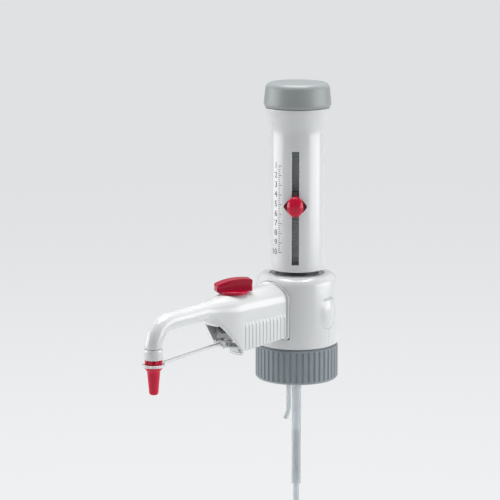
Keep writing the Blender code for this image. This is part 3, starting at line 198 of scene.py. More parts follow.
GREY = moulded("grey_moulding", (0.265, 0.300, 0.325), 0.4, mottle=0.05, grain=1500, relief=0.10)
collar_low, collar_high = span("bottle_collar")
COLLAR_RADIUS, COLLAR_LOW, COLLAR_TOP = collar_high[0], collar_low[2], collar_high[2]
SOCKET_RADIUS, LIP_RADIUS, LIP_THICK = 22.8, 18.55, 1.1
FLUTES, FLUTE_DEPTH = 44, 0.75
THREAD_PITCH, THREAD_HEIGHT, THREAD_TOP = 4.0, 1.2, -2.4
CHAMFER_IN, CHAMFER_OUT, EDGE = 1.0, 1.3, 1.0


def collar_relief(radius, height, angle):
    """Outside, 44 flutes that fade out at the plain bands. Inside, one helical ridge of the thread."""
    above = height - COLLAR_LOW
    below = COLLAR_TOP - height
    outside = (radius > COLLAR_RADIUS - 1.7) * ease(1.3, 2.3, above) * ease(0.9, 1.6, below)
    flute = ease(-0.25, 0.6, np.cos(FLUTES * angle))
    wall = np.abs(radius - SOCKET_RADIUS) < 0.05
    inside = wall * ease(1.7, 2.9, above) * (1 - ease(THREAD_TOP, THREAD_TOP + 0.8, height))
    ridge = ease(0.1, 0.75, np.cos(2 * np.pi * height / THREAD_PITCH - angle))
    return -outside * flute * FLUTE_DEPTH - inside * ridge * THREAD_HEIGHT


collar_outline = divided(filleted([
    (LIP_RADIUS, COLLAR_TOP, 0.2), (LIP_RADIUS, COLLAR_TOP - LIP_THICK, 0.2),
    (SOCKET_RADIUS, COLLAR_TOP - LIP_THICK, 0.3), (SOCKET_RADIUS, COLLAR_LOW + CHAMFER_IN, 0.2),
    (SOCKET_RADIUS + CHAMFER_IN, COLLAR_LOW, 0.3), (COLLAR_RADIUS - CHAMFER_OUT, COLLAR_LOW, 0.5),
    (COLLAR_RADIUS, COLLAR_LOW + CHAMFER_OUT, 0.8), (COLLAR_RADIUS, COLLAR_TOP - EDGE, 0.5),
    (COLLAR_RADIUS - EDGE, COLLAR_TOP, 0.5)], steps=5), 0.55)
collar = skin("collar_nut", turned(collar_outline, FLUTES * 10, shift=collar_relief), GREY, rows_meet=True)
fit(collar, "collar", "grey_plastic", "bottle_collar")

# Washer, retaining ring, core and filling valve under the block.
# Fluoropolymer and white moulding; the ring clips the collar on, and the valve is screwed into the core.
# They show from below only and keep their own solids.
WAX = moulded("fluoropolymer", (0.70, 0.70, 0.67), 0.5, mottle=0.04, relief=0.05, depth=0.002)
WHITE = moulded("white_moulding", (0.76, 0.772, 0.778), 0.2, mottle=0.012, grain=1100, relief=0.015,
                depth=0.0006, shine=0.5)


def keep(material, *names):
    """Gives solids that stay in view a finish in place of their plain one."""
    for name in names:
        node = frame["nodes"][name]
        node.data.materials.clear()
        node.data.materials.append(material)


keep(WAX, "neck_seal", "valve_insert", "filling_valve")
keep(WHITE, "collar_retaining_ring")

# Valve block.
# A white moulded barrel with a slight belly and a broad round shoulder, and a flat seat cut for the arm.
# It turns on the collar and carries the cylinder, the arm and the tubes; a parting line runs up both sides.
block_low, block_high = span("valve_block")
ring_low, ring_high = span("safety_ring")
housing_low, housing_high = span("discharge_housing")
FACE_GAP = 0.3
FOOT, BLOCK_TOP, SHOULDER, BARREL = COLLAR_TOP + 0.35, block_high[2], 6.0, 27.08
BELLY_UP, BELLY_DROP, SEAM_DEPTH, SEAM_WIDTH, SEAM_FROM = 15.0, 2.0, 0.14, 0.010, 22.0
CORE_RADIUS, SPIGOT_RADIUS, SPIGOT_LOW, FOOT_EDGE = 12.2, 18.2, block_low[2], 1.0
RING_SEAT, RECESS_RADIUS = ring_low[2] - FACE_GAP, ring_high[0] + FACE_GAP
REAR, FLANGE, HOOD_TOP_ROUND = -housing_high[0], 1.4, 10.6
SEAT_FLOOR, PAST_BARREL = 11.5, 31.0
INLET_WAY, RETURN_WAY, WAY_START, WAY_END = (4.8, 33.0), (3.3, 22.0), 10.0, 24.0


def belly(height):
    """Barrel radius: widest 15 mm above the foot, and less by the square of the distance from there."""
    return BARREL - BELLY_DROP * ((height - FOOT - BELLY_UP) / (BLOCK_TOP - FOOT)) ** 2


def carve(piece, *cutters):
    """Cuts each cutter out of the piece and keeps the result as the piece's own mesh."""
    for cutter in cutters:
        step = piece.modifiers.new("cut", "BOOLEAN")
        step.operation = "DIFFERENCE"
        step.solver = "EXACT"
        step.object = cutter
    mesh = bpy.data.meshes.new_from_object(piece.evaluated_get(bpy.context.evaluated_depsgraph_get()))
    piece.modifiers.clear()
    piece.data = mesh
    mesh.shade_smooth()
    mesh.set_sharp_from_angle(angle=SHARP_CUT)
    for cutter in cutters:
        bpy.data.objects.remove(cutter)
    return piece


def closed_ends(rings):
    """Adds each end ring's middle as a ring of its own, which caps the end."""
    first, last = rings[0], rings[-1]
    return np.concatenate([np.tile(first.mean(0), (1, len(first), 1)), rings,
                           np.tile(last.mean(0), (1, len(last), 1))])


def section(half, top, bottom, top_round, bottom_round, count):
    """A rectangle whose upper and lower corners have their own radii, resampled to points an equal length
    apart, starting under the middle."""
    line = filleted([(0, bottom, 0), (half, bottom, bottom_round), (half, top, top_round), (0, top, 0),
                     (-half, top, top_round), (-half, bottom, bottom_round)], steps=17)
    line = np.vstack([line, line[:1]])
    along = np.concatenate([[0], np.cumsum(np.linalg.norm(np.diff(line, axis=0), axis=1))])
    even = np.linspace(0, along[-1], count, endpoint=False)
    return np.stack([np.interp(even, along, line[:, 0]), np.interp(even, along, line[:, 1])], -1)


def standing(line, reach):
    """A section set upright across the arm at a distance from the block's axis."""
    return np.column_stack([np.full(len(line), -reach), line[:, 0], line[:, 1]])


def parting_line(radius, height, angle):
    """A fine groove up the barrel at a quarter turn to each side of the arm."""
    off = np.minimum(np.abs(angle - np.pi / 2), np.abs(angle - 3 * np.pi / 2))
    on_barrel = (radius > SEAM_FROM) * ease(FOOT, FOOT + 2.0, height)
    return -SEAM_DEPTH * np.exp(-(off / SEAM_WIDTH) ** 2) * on_barrel


near_seam = np.radians([[90.0], [270.0]]) + np.linspace(-0.03, 0.03, 11)
all_round = np.linspace(0, 2 * np.pi, 160, endpoint=False)
block_angles = np.unique(np.round(np.concatenate([all_round, near_seam.ravel()]), 6))
shoulder_low = BLOCK_TOP - SHOULDER
side = np.linspace(FOOT + FOOT_EDGE, shoulder_low, 22)
turn = np.radians(np.linspace(0, 90, 16))[1:]
shoulder_top = belly(shoulder_low) - SHOULDER
block_outline = np.vstack([
    filleted([(CORE_RADIUS, RING_SEAT, 0), (CORE_RADIUS, SPIGOT_LOW, 0.2), (SPIGOT_RADIUS, SPIGOT_LOW, 0.2),
              (SPIGOT_RADIUS, FOOT, 0.2), (belly(FOOT) - FOOT_EDGE, FOOT, 0.3)], closed=False, steps=4),
    np.column_stack([belly(side), side]),
    np.column_stack([shoulder_top + SHOULDER * np.cos(turn), shoulder_low + SHOULDER * np.sin(turn)]),
    filleted([(RECESS_RADIUS + 1.7, BLOCK_TOP, 0), (RECESS_RADIUS, BLOCK_TOP, 0.7),
              (RECESS_RADIUS, RING_SEAT, 0.3), (CORE_RADIUS + 0.4, RING_SEAT, 0)], closed=False, steps=5)])
block = skin("block_barrel", turned(block_outline, block_angles, shift=parting_line), WHITE, rows_meet=True)
seat_line = section(housing_high[1] + FACE_GAP, housing_high[2] + FACE_GAP, SEAT_FLOOR,
                    HOOD_TOP_ROUND + FLANGE + FACE_GAP, 0.8, 96)
seat_rings = np.stack([standing(seat_line, reach) for reach in (REAR - FACE_GAP, PAST_BARREL)])
cutters = [skin("arm_seat", closed_ends(seat_rings), WHITE)]
for width, height in (INLET_WAY, RETURN_WAY):
    hole_line = section(width, height + width, height - width, width, width, 48)
    hole_rings = np.stack([standing(hole_line, reach) for reach in (WAY_START, WAY_END)])
    cutters.append(skin("pipe_way", closed_ends(hole_rings), WHITE))
vent_low, vent_high = span("vent_cap")
VENT_HALF, VENT_HEIGHT, VENT_SIDES, VENT_BACK = vent_high[0], (vent_low[2] + vent_high[2]) / 2, 72, 21.5
VENT_STRAIGHT = (vent_high[2] - vent_low[2]) / 2 - VENT_HALF


def stadium(half, straight):
    """An upright slot outline: two half circles joined by straight sides."""
    a = np.linspace(0, 2 * np.pi, VENT_SIDES, endpoint=False) + np.pi / VENT_SIDES
    return np.column_stack([half * np.cos(a), half * np.sin(a) + straight * np.sign(np.sin(a))])


vent_line = stadium(VENT_HALF + 0.07, VENT_STRAIGHT)
vent_rings = np.stack([
    np.column_stack([vent_line[:, 0], np.full(VENT_SIDES, -depth), vent_line[:, 1] + VENT_HEIGHT])
    for depth in (VENT_BACK, PAST_BARREL + 2.0)])
cutters.append(skin("vent_hole", closed_ends(vent_rings), WHITE))
fit(carve(block, *cutters), "valve_block", "white_plastic", "valve_block")

# Vent cap.
# A white stopper in the block's side that lets air into the bottle, pressed into a slot of its own shape.
# Its face swells from the barrel in a low pillow, with a nick at its upper edge for a fingernail.
VENT_SWELL, VENT_SUNK, NICK_DEPTH = 0.93, 0.05, 1.0
NICK_HEIGHT = vent_high[2] - 0.7


def vent_grid():
    """Rings of the slot outline drawn in step by step: up the wall, then over a face that lies on the barrel
    and swells smoothly from the edge; the nick is a Gaussian dip at the top."""
    drawn_in = (VENT_HALF - 0.05) * (1 - np.cos(np.linspace(0, np.pi / 2, 30)))[1:]
    inset = np.concatenate([[0.0, 0.0], drawn_in])
    rings = []
    for k, into in enumerate(inset):
        straight = VENT_STRAIGHT * (1 - ease(2.5, VENT_HALF - 0.1, into))
        line = stadium(max(VENT_HALF - into, 0.03), straight)
        height = line[:, 1] + VENT_HEIGHT
        swell = -VENT_SUNK + VENT_SWELL * ease(0.0, 6.0, into)
        nick = -NICK_DEPTH * np.exp(-((height - NICK_HEIGHT) / 1.3) ** 2 - (line[:, 0] / 6.5) ** 2)
        depth = np.sqrt(belly(height) ** 2 - line[:, 0] ** 2) + (-5.0 if k == 0 else swell) + nick
        rings.append(np.column_stack([line[:, 0], -depth, height]))
    return closed_ends(np.stack(rings))


fit(skin("vent_stopper", vent_grid(), WHITE), "valve_block", "white_plastic", "vent_cap")

# Glass cylinder, its guard and the safety ring.
# A ground glass tube in a white guard; a ring in the block's top, a neck in a white flange, holds both down.
# The neck shows in the gap under the sleeve, its dark colour painted shade there; the rest is hidden until
# the sleeve is lifted.
NECK_BORE, NECK_RADIUS = 11.1, 13.9
RING_FOOT, RING_TOP, RING_RADIUS = ring_low[2] + 0.05, ring_high[2], ring_high[0]


def see_through(name, colour, weight, roughness, index):
    """Clear stuff: mostly transmitted light, with a haze that varies along it."""
    made = moulded(name, colour, roughness, mottle=0.03, relief=0.02, clouds=60.0)
    feed(made.node_tree.nodes["Principled BSDF"], {"Transmission Weight": weight, "IOR": index})
    return made


GLASS = see_through("ground_glass", (0.93, 0.97, 0.97), 0.95, 0.07, 1.47)
DARK = moulded("dark_moulding", (0.035, 0.039, 0.042), 0.48, mottle=0.12, relief=0.08)
keep(GLASS, "glass_cylinder", "filling_valve_ball", "discharge_valve_ball")
keep(WHITE, "cylinder_guard")
neck_outline = filleted([(NECK_BORE, RING_TOP, 0.3), (NECK_RADIUS, RING_TOP, 0.5),
                         (NECK_RADIUS, RING_FOOT, 0.2), (NECK_BORE, RING_FOOT, 0.2)])
flange_outline = filleted([(NECK_RADIUS + 0.05, BLOCK_TOP - 0.05, 0.2), (RING_RADIUS, BLOCK_TOP - 0.45, 0.5),
                           (RING_RADIUS, RING_FOOT, 0.2), (NECK_RADIUS + 0.05, RING_FOOT, 0.2)])
# The neck's dark colour is painted shade in the gap under the sleeve.
neck = skin("holding_ring_neck", turned(neck_outline, 120), DARK, rows_meet=True)
fit(neck, "valve_block", "dark_plastic", "safety_ring")
flange = skin("holding_ring_flange", turned(flange_outline, 120), WHITE, rows_meet=True)
fit(flange, "valve_block", "white_plastic", "safety_ring")

# Piston with its seals, carrier and calibration nut.
# A fluoropolymer plunger that the carrier ties to the sleeve; the dark nut under the cap trims the volume.
# All of it is inside the sleeve and keeps its own solids.
keep(WAX, "piston", "piston_seal_lower", "piston_seal_upper")
keep(WHITE, "piston_carrier")
keep(DARK, "calibration_nut", "stop_shoe")

# Stroke sleeve and the toothed strip.
# A white moulded tube with a slight draft and a flared rim; it is lifted to fill the cylinder.
# The straight slot in it shows the slate-grey strip along which the volume stop is set.
SLATE = moulded("slate_moulding", (0.44, 0.475, 0.48), 0.42, mottle=0.08, relief=0.05)
SCALE_TURN = math.pi + math.radians(37.7)
sleeve_low, sleeve_high = span("stroke_sleeve")
SLEEVE_FOOT, SLEEVE_RIM, RIM_RADIUS = sleeve_low[2], sleeve_high[2], sleeve_high[0]
SLEEVE_BORE, SLEEVE_RADIUS, WAIST_RADIUS = 15.75, 17.95, 17.65
DRAFT_RUN, FLARE_LOW, FLARE_BEND = 91.6, 145.8, 26.0
LEDGE, LEDGE_BORE, CARRIER_BORE = span("piston_carrier")[0][2] - FACE_GAP, 13.45, 16.17
SLOT_BACK, SLOT_HALF, SLOT_LOW, SLOT_TOP = 12.7, 2.3, 59.0, 132.8


def round_scale(points):
    """Turns points made facing +X to face along the volume scale."""
    c, s = math.cos(SCALE_TURN), math.sin(SCALE_TURN)
    return points @ np.array([[c, s, 0], [-s, c, 0], [0, 0, 1]])


def slab(low, high, edge):
    """A box between two corners with rounded long edges and bevelled ends: its rounded section in X and Z
    is carried along Y."""
    (x0, y0, z0), (x1, y1, z1) = low, high
    ends = [(y0, edge), (y0 + edge, 0.0), (y1 - edge, 0.0), (y1, edge)]
    rings = []
    for y, inset in ends:
        radius = max(edge - inset, 0.05)
        line = filleted([(x0 + inset, z0 + inset, radius), (x1 - inset, z0 + inset, radius),
                         (x1 - inset, z1 - inset, radius), (x0 + inset, z1 - inset, radius)], steps=5)
        rings.append(np.column_stack([line[:, 0], np.full(len(line), y), line[:, 1]]))
    return closed_ends(np.stack(rings))


sleeve_outline = divided(filleted([
    (SLEEVE_BORE, SLEEVE_FOOT, 0.4), (SLEEVE_RADIUS, SLEEVE_FOOT, 0.6),
    (WAIST_RADIUS, FLARE_LOW, FLARE_BEND), (RIM_RADIUS - 0.25, SLEEVE_RIM - 1.95, 5.0),
    (RIM_RADIUS, SLEEVE_RIM, 0.35), (RIM_RADIUS - 2.2, SLEEVE_RIM, 0.3),
    (CARRIER_BORE + 0.78, LEDGE + 6.5, 0.2), (CARRIER_BORE, LEDGE + 3.1, 0.2),
    (CARRIER_BORE, LEDGE, 0.2), (LEDGE_BORE, LEDGE, 0.2), (LEDGE_BORE, LEDGE - 2.5, 0.2),
    (SLEEVE_BORE, LEDGE - 4.8, 0.3)], steps=12), 4.0)
sleeve = skin("lifting_sleeve", turned(sleeve_outline, 144), WHITE, rows_meet=True)
slot_box = slab((SLOT_BACK, -SLOT_HALF, SLOT_LOW), (RIM_RADIUS, SLOT_HALF, SLOT_TOP), 0.05)
slot_cut = skin("slot_cut", round_scale(slot_box), WHITE)
fit(carve(sleeve, slot_cut), "dosing_unit", "white_plastic", "stroke_sleeve")
keep(SLATE, "rack_strip")

# Volume scale.
# Plain ticks and numbers printed on the sleeve beside the slot, small volumes at the top.
# The ink is a thin film that lies on the sleeve's curve.
INK = moulded("dark_ink", (0.075, 0.068, 0.058), 0.55, mottle=0.15, clouds=160.0, relief=0.05)
ZERO_HEIGHT, PER_STEP, STEPS, TICKS = 129.5, 6.26, 10, 5
PRINT_RADIUS, SCALE_EDGE, NUMBER_EDGE = 17.8, 12.2, 13.2
LONG_TICK, SHORT_TICK, INK_UNDER, INK_OVER = (2.6, 0.42), (1.5, 0.3), -0.02, 0.035
NUMBER_TALL, FIGURE_SHARE, NUMBER_THICK, NUMBER_LIFT = 3.9, 0.72, 0.03, 0.05


def on_sleeve(across, height, lift):
    """Wraps flat print on the sleeve: the distance across becomes an angle from the slot, and the radius is
    the sleeve's own at that height plus the lift."""
    radius = SLEEVE_RADIUS - (SLEEVE_RADIUS - WAIST_RADIUS) * (height - SLEEVE_FOOT) / DRAFT_RUN + lift
    angle = -across / PRINT_RADIUS
    return round_scale(np.stack([radius * np.cos(angle), radius * np.sin(angle), height], -1))


def printed(name, shells):
    """One object of print from several closed meshes."""
    whole = bmesh.new()
    for mesh in shells:
        whole.from_mesh(mesh)
    bmesh.ops.remove_doubles(whole, verts=whole.verts, dist=1e-7)
    bmesh.ops.recalc_face_normals(whole, faces=whole.faces)
    data = bpy.data.meshes.new(name)
    whole.to_mesh(data)
    whole.free()
    return fit(placed(name, data, INK), "dosing_unit", "dark_plastic")


def tick_mesh(height, long, thick):
    """One tick as a thin curved bar: a small rectangle carried along the sleeve from end to end."""
    half = thick / 2
    corners = np.array([(-half, INK_UNDER), (half, INK_UNDER), (half, INK_OVER), (-half, INK_OVER)])
    rings = np.stack([on_sleeve(np.full(4, across), height + corners[:, 0], corners[:, 1])
                      for across in np.linspace(SCALE_EDGE - long, SCALE_EDGE, 9)])
    bar = skin("tick", closed_ends(rings), INK)
    mesh = bar.data
    bpy.data.objects.remove(bar)
    return mesh


def number_mesh(text, height):
    """A number as thin raised print: Blender's own plain letters, made a mesh and wrapped on the sleeve."""
    curve = bpy.data.curves.new("number", "FONT")
    curve.body = text
    curve.size = NUMBER_TALL / FIGURE_SHARE
    curve.align_x, curve.align_y = "RIGHT", "CENTER"
    curve.extrude = NUMBER_THICK
    curve.resolution_u = 3
    letters = bpy.data.objects.new("number", curve)
    bpy.context.scene.collection.objects.link(letters)
    bpy.context.view_layer.update()
    mesh = bpy.data.meshes.new_from_object(letters.evaluated_get(bpy.context.evaluated_depsgraph_get()))
    bpy.data.objects.remove(letters)
    flat = np.empty(len(mesh.vertices) * 3)
    mesh.vertices.foreach_get("co", flat)
    flat = flat.reshape(-1, 3)
    wrapped = on_sleeve(NUMBER_EDGE - flat[:, 0], height + flat[:, 1], flat[:, 2] + NUMBER_LIFT) * MM
    mesh.vertices.foreach_set("co", wrapped.ravel())
    return mesh


ticks = []
for k in range(TICKS, STEPS * TICKS + 1):
    long, thick = LONG_TICK if k % TICKS == 0 else SHORT_TICK
    ticks.append(tick_mesh(ZERO_HEIGHT - PER_STEP * k / TICKS, long, thick))
printed("scale_ticks", ticks)
printed("scale_numbers", [number_mesh(str(k), ZERO_HEIGHT - PER_STEP * k) for k in range(1, STEPS + 1)])

# Calibration cap.
# A grey moulded button with a bulged wall and a low dome, plugged into the sleeve's rim.
# It is lifted off to reach the nut under it.
CAP_GREY = moulded("pale_grey_moulding", (0.33, 0.355, 0.36), 0.36, mottle=0.04, grain=1500, relief=0.08)
cap_low, cap_high = span("calibration_cap")
CAP_RADIUS, CAP_FOOT, CAP_TOP, CAP_RIM = cap_high[0], cap_low[2] + 0.05, cap_high[2], SLEEVE_RIM + FACE_GAP
SKIRT_BORE, SKIRT_RADIUS, CEILING = 14.4, 16.6, cap_high[2] - 3.45
DOME_RADIUS, DOME_RISE = 18.4, 0.9
inward = np.linspace(0.86, 0, 16)
dome_line = np.column_stack([DOME_RADIUS * inward, CAP_TOP - DOME_RISE * inward ** 2])
cap_wall = filleted([
    (0, CEILING, 0), (SKIRT_BORE, CEILING, 1.0), (SKIRT_BORE, CAP_FOOT, 0.2), (SKIRT_RADIUS, CAP_FOOT, 0.3),
    (SKIRT_RADIUS, CAP_RIM, 0.2), (CAP_RADIUS - 0.8, CAP_RIM, 0.5), (CAP_RADIUS, CAP_RIM + 1.85, 1.4),
    (CAP_RADIUS - 0.2, CAP_RIM + 4.95, 3.0), (CAP_RADIUS - 1.35, CAP_TOP - 1.15, 4.2),
    (CAP_RADIUS - 5.9, CAP_TOP - 0.65, 0)], closed=False, steps=10)
cap_outline = np.vstack([cap_wall[:-1], dome_line])
fit(skin("cap_button", turned(cap_outline, 144), CAP_GREY), "dosing_unit", "grey_plastic", "calibration_cap")

# Volume pointer and its thumb screw.
# A red lozenge rides in front of the slot, and a domed red knob clamps it and the shoe behind it.
# Both are glossy mouldings, and the lozenge's faces towards its tips are a darker red.
RED = moulded("red_moulding", (0.64, 0.0, 0.035), 0.16, mottle=0.06, relief=0.012, shine=0.2, reflection=0.3)
DEEP_RED = moulded("deep_red_moulding", (0.10, 0.001, 0.012), 0.3, mottle=0.1, relief=0.03, reflection=0.3)
pivots = {joint["name"]: np.round(np.array(joint["pos_m"]) / MM, 2)
          for joint in frame["joints"] if joint["type"] == "hinge"}
POINTER_HEIGHT = pivots["clamp_turn"][2]
LOZENGE_HALF, LOZENGE_RISE, LOZENGE_POWER, LOZENGE_SIDES = 7.6, 7.1, 1.28, 96
PLATE_BACK, PLATE_FACE, TIP_START = 18.6, 19.53, 4.4
SHAFT_END, SHAFT_RADIUS = 14.7, 1.4
KNOB_BACK, KNOB_RADIUS, KNOB_DEEP, KNOB_NARROWER, KNOB_TALLER = 19.85, 5.65, 3.45, 0.05, 0.16


def facing_out(across, up, out):
    """Points given across, up and out from the slot, set at the pointer's height."""
    return round_scale(np.stack([out, -across, POINTER_HEIGHT + up], -1))


def lozenge_grid():
    """A lozenge |x/a|^p + |y/b|^p = 1, carried through the plate's thickness with a chamfer on each face."""
    a = np.linspace(0, 2 * np.pi, LOZENGE_SIDES, endpoint=False)
    power = 2 / LOZENGE_POWER
    x = LOZENGE_HALF * np.sign(np.cos(a)) * np.abs(np.cos(a)) ** power
    y = LOZENGE_RISE * np.sign(np.sin(a)) * np.abs(np.sin(a)) ** power
    levels = [(PLATE_BACK, 0.97), (PLATE_BACK + 0.15, 1.0), (PLATE_FACE - 0.23, 1.0)]
    levels += [(PLATE_FACE, share) for share in (0.95, 0.84, 0.73, 0.62)]
    return closed_ends(np.stack([facing_out(x * share, y * share, np.full(LOZENGE_SIDES, out))
                                 for out, share in levels]))


lozenge = skin("pointer_lozenge", lozenge_grid(), RED)
lozenge.data.materials.append(DEEP_RED)
sideways = round_scale(np.array([[0.0, 1.0, 0.0]]))[0]
for face in lozenge.data.polygons:
    face.material_index = int(abs(np.dot(face.center, sideways)) > TIP_START * MM)
fit(lozenge, "volume_pointer", "red_plastic", "pointer_plate")


def knob_grid():
    """A deep dome on a short rim and a shaft, drawn out upright to an oval."""
    crown = np.radians(np.linspace(0, 90, 24))
    outline = np.vstack([
        filleted([(0, SHAFT_END, 0), (SHAFT_RADIUS, SHAFT_END, 0.2), (SHAFT_RADIUS, KNOB_BACK, 0.1),
                  (KNOB_RADIUS - 0.15, KNOB_BACK, 0.25), (KNOB_RADIUS, KNOB_BACK + 0.45, 0)],
                 closed=False, steps=5),
        np.column_stack([KNOB_RADIUS * np.cos(crown), KNOB_BACK + 0.5 + KNOB_DEEP * np.sin(crown)])])
    angle = np.linspace(0, 2 * np.pi, 128, endpoint=False)[None, :]
    radius = outline[:, :1] + 0 * angle
    drawn = ease(1.5, 5.0, radius)
    across = radius * (1 - KNOB_NARROWER * drawn) * np.cos(angle)
    up = radius * (1 + KNOB_TALLER * drawn) * np.sin(angle)
    return facing_out(across, up, outline[:, 1:] + 0 * angle)


fit(skin("clamp_knob", knob_grid(), RED), "thumb_screw", "red_plastic", "thumb_screw")

# Discharge housing.
# The white arm, one moulding: an open-bottomed hood with ribbed flanks that runs out into a bent pipe.
# A flange at its rear seats on the block; the round seat on top takes the lever.
HOOD_HALF, HOOD_TOP, HOOD_LOW = housing_high[1] - FLANGE, housing_high[2] - FLANGE, housing_low[2]
HOOD_BOTTOM_ROUND, HOOD_DRAFT, REAR_RISE, WALL = 0.8, 0.3, 2.6, 2.0
ARCH_START, ARCH_END, FALL_START, HOLLOW_END = 65.0, 91.0, 61.0, 80.6
NOZZLE_REACH, BEND, BEND_HEIGHT = -pivots["cap_turn"][0], 14.8, 22.5
BEND_REACH, PIPE = NOZZLE_REACH - BEND, -housing_low[0] - NOZZLE_REACH
ROOT_HEIGHT, ROOT = 38.3, 6.0
FLANGE_LIFT, FLANGE_CREASE, FLANGE_END = 0.35, 0.3, 28.4
RIB_FIRST, RIB_PITCH, RIB_HEIGHT, RIBS_FROM, RIBS_TO = 26.0, 3.3, 0.4, 24.4, 64.0
RIB_TOP_LOW, RIB_TOP_HIGH = 26.5, 29.0
LEVER_REACH, SEAT_HEIGHT = -pivots["lever_turn"][0], pivots["lever_turn"][2]
SEAT_RADIUS, SEAT_FLARE, ABOVE_HOOD, PLUG_HOLE, HOLE_LOW, HOLE_TOP = 13.2, 2.4, 56.0, 5.35, 36.0, 55.0
ROUND = 144


def hood_sizes(reach):
    """Half width, top, bottom and corner radii along the arm: straight flanks to the arch, a sine arch under
    the front, and a smooth run into the pipe's round root."""
    neck = ease(ARCH_START, ARCH_END, reach)
    share = np.clip((reach - REAR) / (ARCH_START - REAR), 0, 1)
    half = HOOD_HALF - HOOD_DRAFT * share
    half = half + neck * (ROOT - half)
    top = HOOD_TOP + ease(FALL_START, ARCH_END, reach) * (ROOT_HEIGHT + ROOT - HOOD_TOP)
    floor = HOOD_LOW + REAR_RISE * (1 - share)
    rise = np.sin(np.pi / 2 * np.clip((reach - ARCH_START) / (ARCH_END - ARCH_START), 0, 1))
    bottom = floor + rise * (ROOT_HEIGHT - ROOT - floor)
    top_round = HOOD_TOP_ROUND + neck * (ROOT - HOOD_TOP_ROUND)
    return half, top, bottom, top_round, HOOD_BOTTOM_ROUND + neck * (ROOT - HOOD_BOTTOM_ROUND)


def outer_ring(reach):
    """The hood's outside at one station, with the rear flange's quarter round and the ribs on the flanks."""
    half, top, bottom, top_round, bottom_round = hood_sizes(reach)
    line = section(half, top, bottom, top_round, bottom_round, ROUND)
    along = np.roll(line, -1, 0) - np.roll(line, 1, 0)
    outward = np.column_stack([along[:, 1], -along[:, 0]]) / np.linalg.norm(along, axis=1, keepdims=True)
    edge = np.sqrt(belly(line[:, 1]) ** 2 - line[:, 0] ** 2) + FLANGE_LIFT
    past = np.clip((reach - edge) / 0.5 + 1, 0, 1)
    crease = FLANGE_CREASE * np.exp(-((reach - edge - 0.3) / 0.22) ** 2)
    proud = FLANGE * np.sqrt(1 - past * past) - crease
    line = line + outward * proud[:, None]
    wave = math.cos(2 * np.pi * (reach - RIB_FIRST) / RIB_PITCH)
    rib = ease(-0.1, 0.55, wave) * (RIBS_FROM < reach < RIBS_TO)
    low = ease(bottom + 0.4, bottom + 1.4, line[:, 1]) * (1 - ease(RIB_TOP_LOW, RIB_TOP_HIGH, line[:, 1]))
    line[:, 0] += np.sign(line[:, 0]) * RIB_HEIGHT * rib * low * (np.abs(line[:, 0]) > half - 0.9)
    return standing(line, reach)


def inner_ring(reach):
    """The hollow at one station: a wall's thickness inside the hood, and open below."""
    half, top, bottom, top_round, _ = hood_sizes(reach)
    return standing(section(half - WALL, top - WALL, bottom - 5.0, top_round - WALL, 0.8, 96), reach)


def pipe_rings(reach, height, slope, radius, count):
    """Circles across a centre line in the arm's upright plane, each begun under its middle."""
    line = section(1.0, 1.0, -1.0, 1.0, 1.0, count)
    across, up = np.outer(radius, line[:, 0]), np.outer(radius, line[:, 1])
    reach, height, slope = (np.asarray(v, float)[:, None] for v in (reach, height, slope))
    return np.stack([-(reach + up * np.sin(slope)), across, height + up * np.cos(slope)], -1)


stations = np.concatenate([np.linspace(REAR, FLANGE_END, 72),
                           np.arange(FLANGE_END + 0.2, RIBS_TO + 0.2, 0.22),
                           np.linspace(RIBS_TO + 0.4, ARCH_END, 40)])
taper = np.linspace(0, 1, 12)[1:-1]
bend = np.linspace(0, np.pi / 2, 32)
hood_rings = np.stack([outer_ring(reach) for reach in stations])
root_rings = pipe_rings(ARCH_END + taper * (BEND_REACH - ARCH_END),
                        ROOT_HEIGHT + taper * (BEND_HEIGHT + BEND - ROOT_HEIGHT), 0 * taper,
                        ROOT + taper * (PIPE - ROOT), ROUND)
bend_rings = pipe_rings(BEND_REACH + BEND * np.sin(bend), BEND_HEIGHT + BEND * np.cos(bend), bend,
                        np.full(32, PIPE), ROUND)
arm = skin("arm_hood", closed_ends(np.concatenate([hood_rings, root_rings, bend_rings])), WHITE)
hollow_stations = np.concatenate([[REAR - 2.8, 40.0, 60.0], np.linspace(RIBS_TO, HOLLOW_END, 14)])
hollow = skin("hollow", closed_ends(np.stack([inner_ring(reach) for reach in hollow_stations])), WHITE)
lever_axis = (-LEVER_REACH, 0, 0)
seat_outline = filleted([
    (0, SEAT_HEIGHT, 0), (SEAT_RADIUS, SEAT_HEIGHT, 2.5),
    (SEAT_RADIUS + SEAT_FLARE, SEAT_HEIGHT + SEAT_FLARE, 0),
    (SEAT_RADIUS + SEAT_FLARE, ABOVE_HOOD, 0), (0, ABOVE_HOOD, 0)], closed=False)
lever_seat = skin("lever_seat", turned(seat_outline, 96, centre=lever_axis), WHITE)
hole_outline = np.array([(0, HOLE_LOW), (PLUG_HOLE, HOLE_LOW), (PLUG_HOLE, HOLE_TOP), (0, HOLE_TOP)])
plug_hole = skin("plug_hole", turned(hole_outline, 64, centre=lever_axis), WHITE)
fit(carve(arm, hollow, lever_seat, plug_hole), "valve_block", "white_plastic", "discharge_housing")
